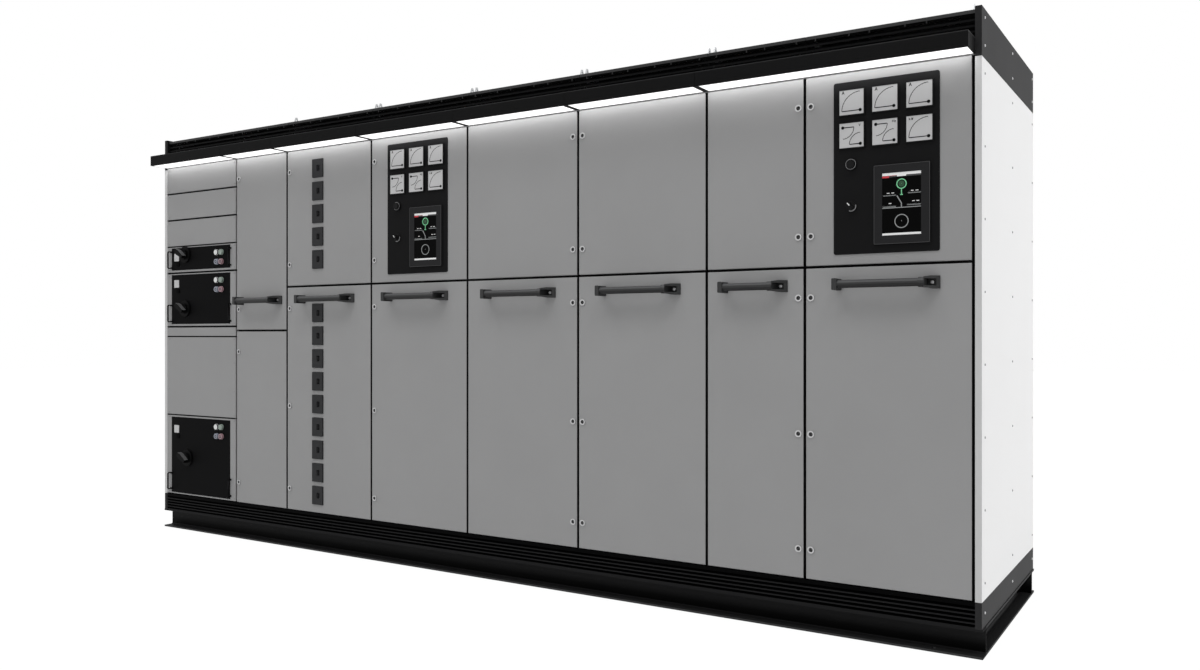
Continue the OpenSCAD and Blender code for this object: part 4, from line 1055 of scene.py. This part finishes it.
# %% Rings in the lenses and the display's edge
COLOURED = [(x, drop) for x, drop, finish in LENSES if finish > 2]
LENS_RING_R = 0.0062
for unit, top in UNIT_TOPS.items():
    paths = [circle(UNIT_X + x, top - drop, LENS_RING_R, 24) for x, drop in COLOURED]
    # Painted shade: a dark ring in each coloured lens.
    rings = [strip(path, 0.0046, -0.012, -0.0121, closed=True) for path in paths]
    add_piece(f"{unit}_lens_rings", rings, "lens_shade", unit)
for column, left in PANELS.items():
    edge_path = round_outline(0.1926, 0.2766, 0.003) + np.array([left + DISPLAY_X, DISPLAY_Z])
    # Painted highlight along the display bezel's front edge.
    edge = strip(edge_path, 0.0014, -0.012, -0.0122, closed=True)
    add_piece(f"display_edge_{column}", [edge], "edge_plastic", f"door_{column}_upper")

# %% [markdown]
# The screwed end of each pull bar has a deep seat, and in it sits one large cheese-head screw. It is turned
# with a rounded rim and a hollow for the driver, and it is plated, so it shows light in the dark seat.

# %% Screws of the pull bars
# Outline of a screw of radius 1, its size and the number of its sides
BOLT = np.array([(1.0, 0.0), (1.0, 0.55), (0.9, 0.72), (0.72, 0.8), (0.42, 0.8), (0.38, 0.45)])
BOLT_R = 0.0068
BOLT_SIDES = 16
# Axis of the bars: the lower doors' height above the sill, less the gap and the bar's distance from the edge
BAR_Z = SILL_Z + 1.150 - 0.005 - 0.062
BAR_LENGTHS = {2: 0.320, 3: 0.365, 4: 0.365, 5: 0.365, 6: 0.365, 7: 0.260, 8: 0.365}
BAR_SHIFT = 0.004
SEAT_IN = 0.0255
SEAT_Y = FACE - 0.004
bolt = turned(BOLT * BOLT_R, BOLT_SIDES, (0, -1, 0))
bolt_faces = tube_faces(len(BOLT), BOLT_SIDES)
for column, length in BAR_LENGTHS.items():
    seat = np.array([centre(column) + length / 2 + BAR_SHIFT - SEAT_IN, SEAT_Y, BAR_Z])
    body = f"door_{column}_" + ("upper" if column == 2 else "lower")
    add_piece(f"pull_bar_screw_{column}", [(bolt + seat, bolt_faces)], "screw_steel", body)

# %% [markdown]
# The top grille is hooked to the roof's front edge by bent tabs in pairs, a pair for each 200 mm, and where
# two transport sections meet the frames are bolted together behind the blades.

# %% Tabs and joint bolts of the top grille
GRILLE = 0.013
TAB_HALF = 0.037
TAB_Z = (2.170, 2.181)
pairs = np.arange(-2.0, 2.01, 0.2)
tab_x = np.sort(np.concatenate([pairs - TAB_HALF, pairs + TAB_HALF]))
tabs = [strip(line(x, TAB_Z[0], x, TAB_Z[1]), 0.0035, GRILLE, GRILLE - 0.0022) for x in tab_x]
add_piece("grille_tabs", tabs, "tab_coat", "root")
JOINT_X = [x + side * 0.026 for x in (-1.2, -0.6, 0.0, 0.6, 1.2) for side in (-1, 1)]
JOINT_Z = (2.136, 2.118)
joints = [(x, FACE + GRILLE + 0.001, z) for x in JOINT_X for z in JOINT_Z]
screws("joint_bolts", joints, 0.005, (0, -1, 0), "base_coat")

# %% [markdown]
# Around the push-button and the selector sits a moulded collar, a ring with a rounded outer edge. The
# selector's grip has a white line that shows where it points.


# %% Collars and pointer
RING_SIDES = 40
COLLAR_IN = 0.0156


def ring(name, x, z, outer, rise, body):
    """Ring on the face of a panel: its outline runs up the outer wall, over a round rim and down inside."""
    rim_r = min(0.003, (outer - COLLAR_IN) / 2)
    turn = np.linspace(0, np.pi / 2, 5)
    rim = [(outer - rim_r + rim_r * np.cos(a), rise - rim_r + rim_r * np.sin(a)) for a in turn]
    outline = [(outer, 0.0)] + rim
    outline += [(COLLAR_IN + 0.0008, rise), (COLLAR_IN, rise - 0.0008), (COLLAR_IN, 0.0)]
    points = turned(outline, RING_SIDES, (0, -1, 0)) + np.array([x, FACE - 0.003, z])
    faces = grid_faces(len(outline), RING_SIDES).tolist()
    n = np.arange(RING_SIDES)
    m = (n + 1) % RING_SIDES
    last = (len(outline) - 1) * RING_SIDES
    back = np.stack([last + n, last + m, m, n], 1)
    add_piece(name, [(points, faces + back.tolist())], "knob_plastic", body)


KNOB_X = 0.0655
BUTTON_Z = PANEL_TOP - 0.298
SELECTOR_Z = PANEL_TOP - 0.448
POINTER_TURN = np.radians(40.0)
pointing = np.array([-np.sin(POINTER_TURN), np.cos(POINTER_TURN)])
for column, left in PANELS.items():
    body = f"door_{column}_upper"
    x = left + KNOB_X
    ring(f"button_collar_{column}", x, BUTTON_Z, 0.0205, 0.009, body)
    ring(f"selector_collar_{column}", x, SELECTOR_Z, 0.0195, 0.005, body)
    # Painted highlights: a light ring round the push-button and a light arc on the lower right of the
    # selector's collar.
    rims = [strip(circle(x, BUTTON_Z, 0.0182), 0.0016, -0.012, -0.0122, closed=True)]
    rims.append(strip(arc(x, SELECTOR_Z, 0.0172, -115, 15, 24), 0.0034, -0.008, -0.0082))
    add_piece(f"collar_painted_highlights_{column}", rims, "rim_painted_highlight", body)
    pivot = np.array([x, SELECTOR_Z])
    pointer = strip([pivot + 0.001 * pointing, pivot + 0.0135 * pointing], 0.0036, -0.025, -0.0252)
    add_piece(f"selector_pointer_{column}", [pointer], "lens_white", f"selector_{column}")

# %% [markdown]
# The box that the visual model fills now is printed. The visual model must stay in the drawn box.

# %% Finish
low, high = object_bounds()
print("visual box", [round(v, 4) for v in low], [round(v, 4) for v in high])
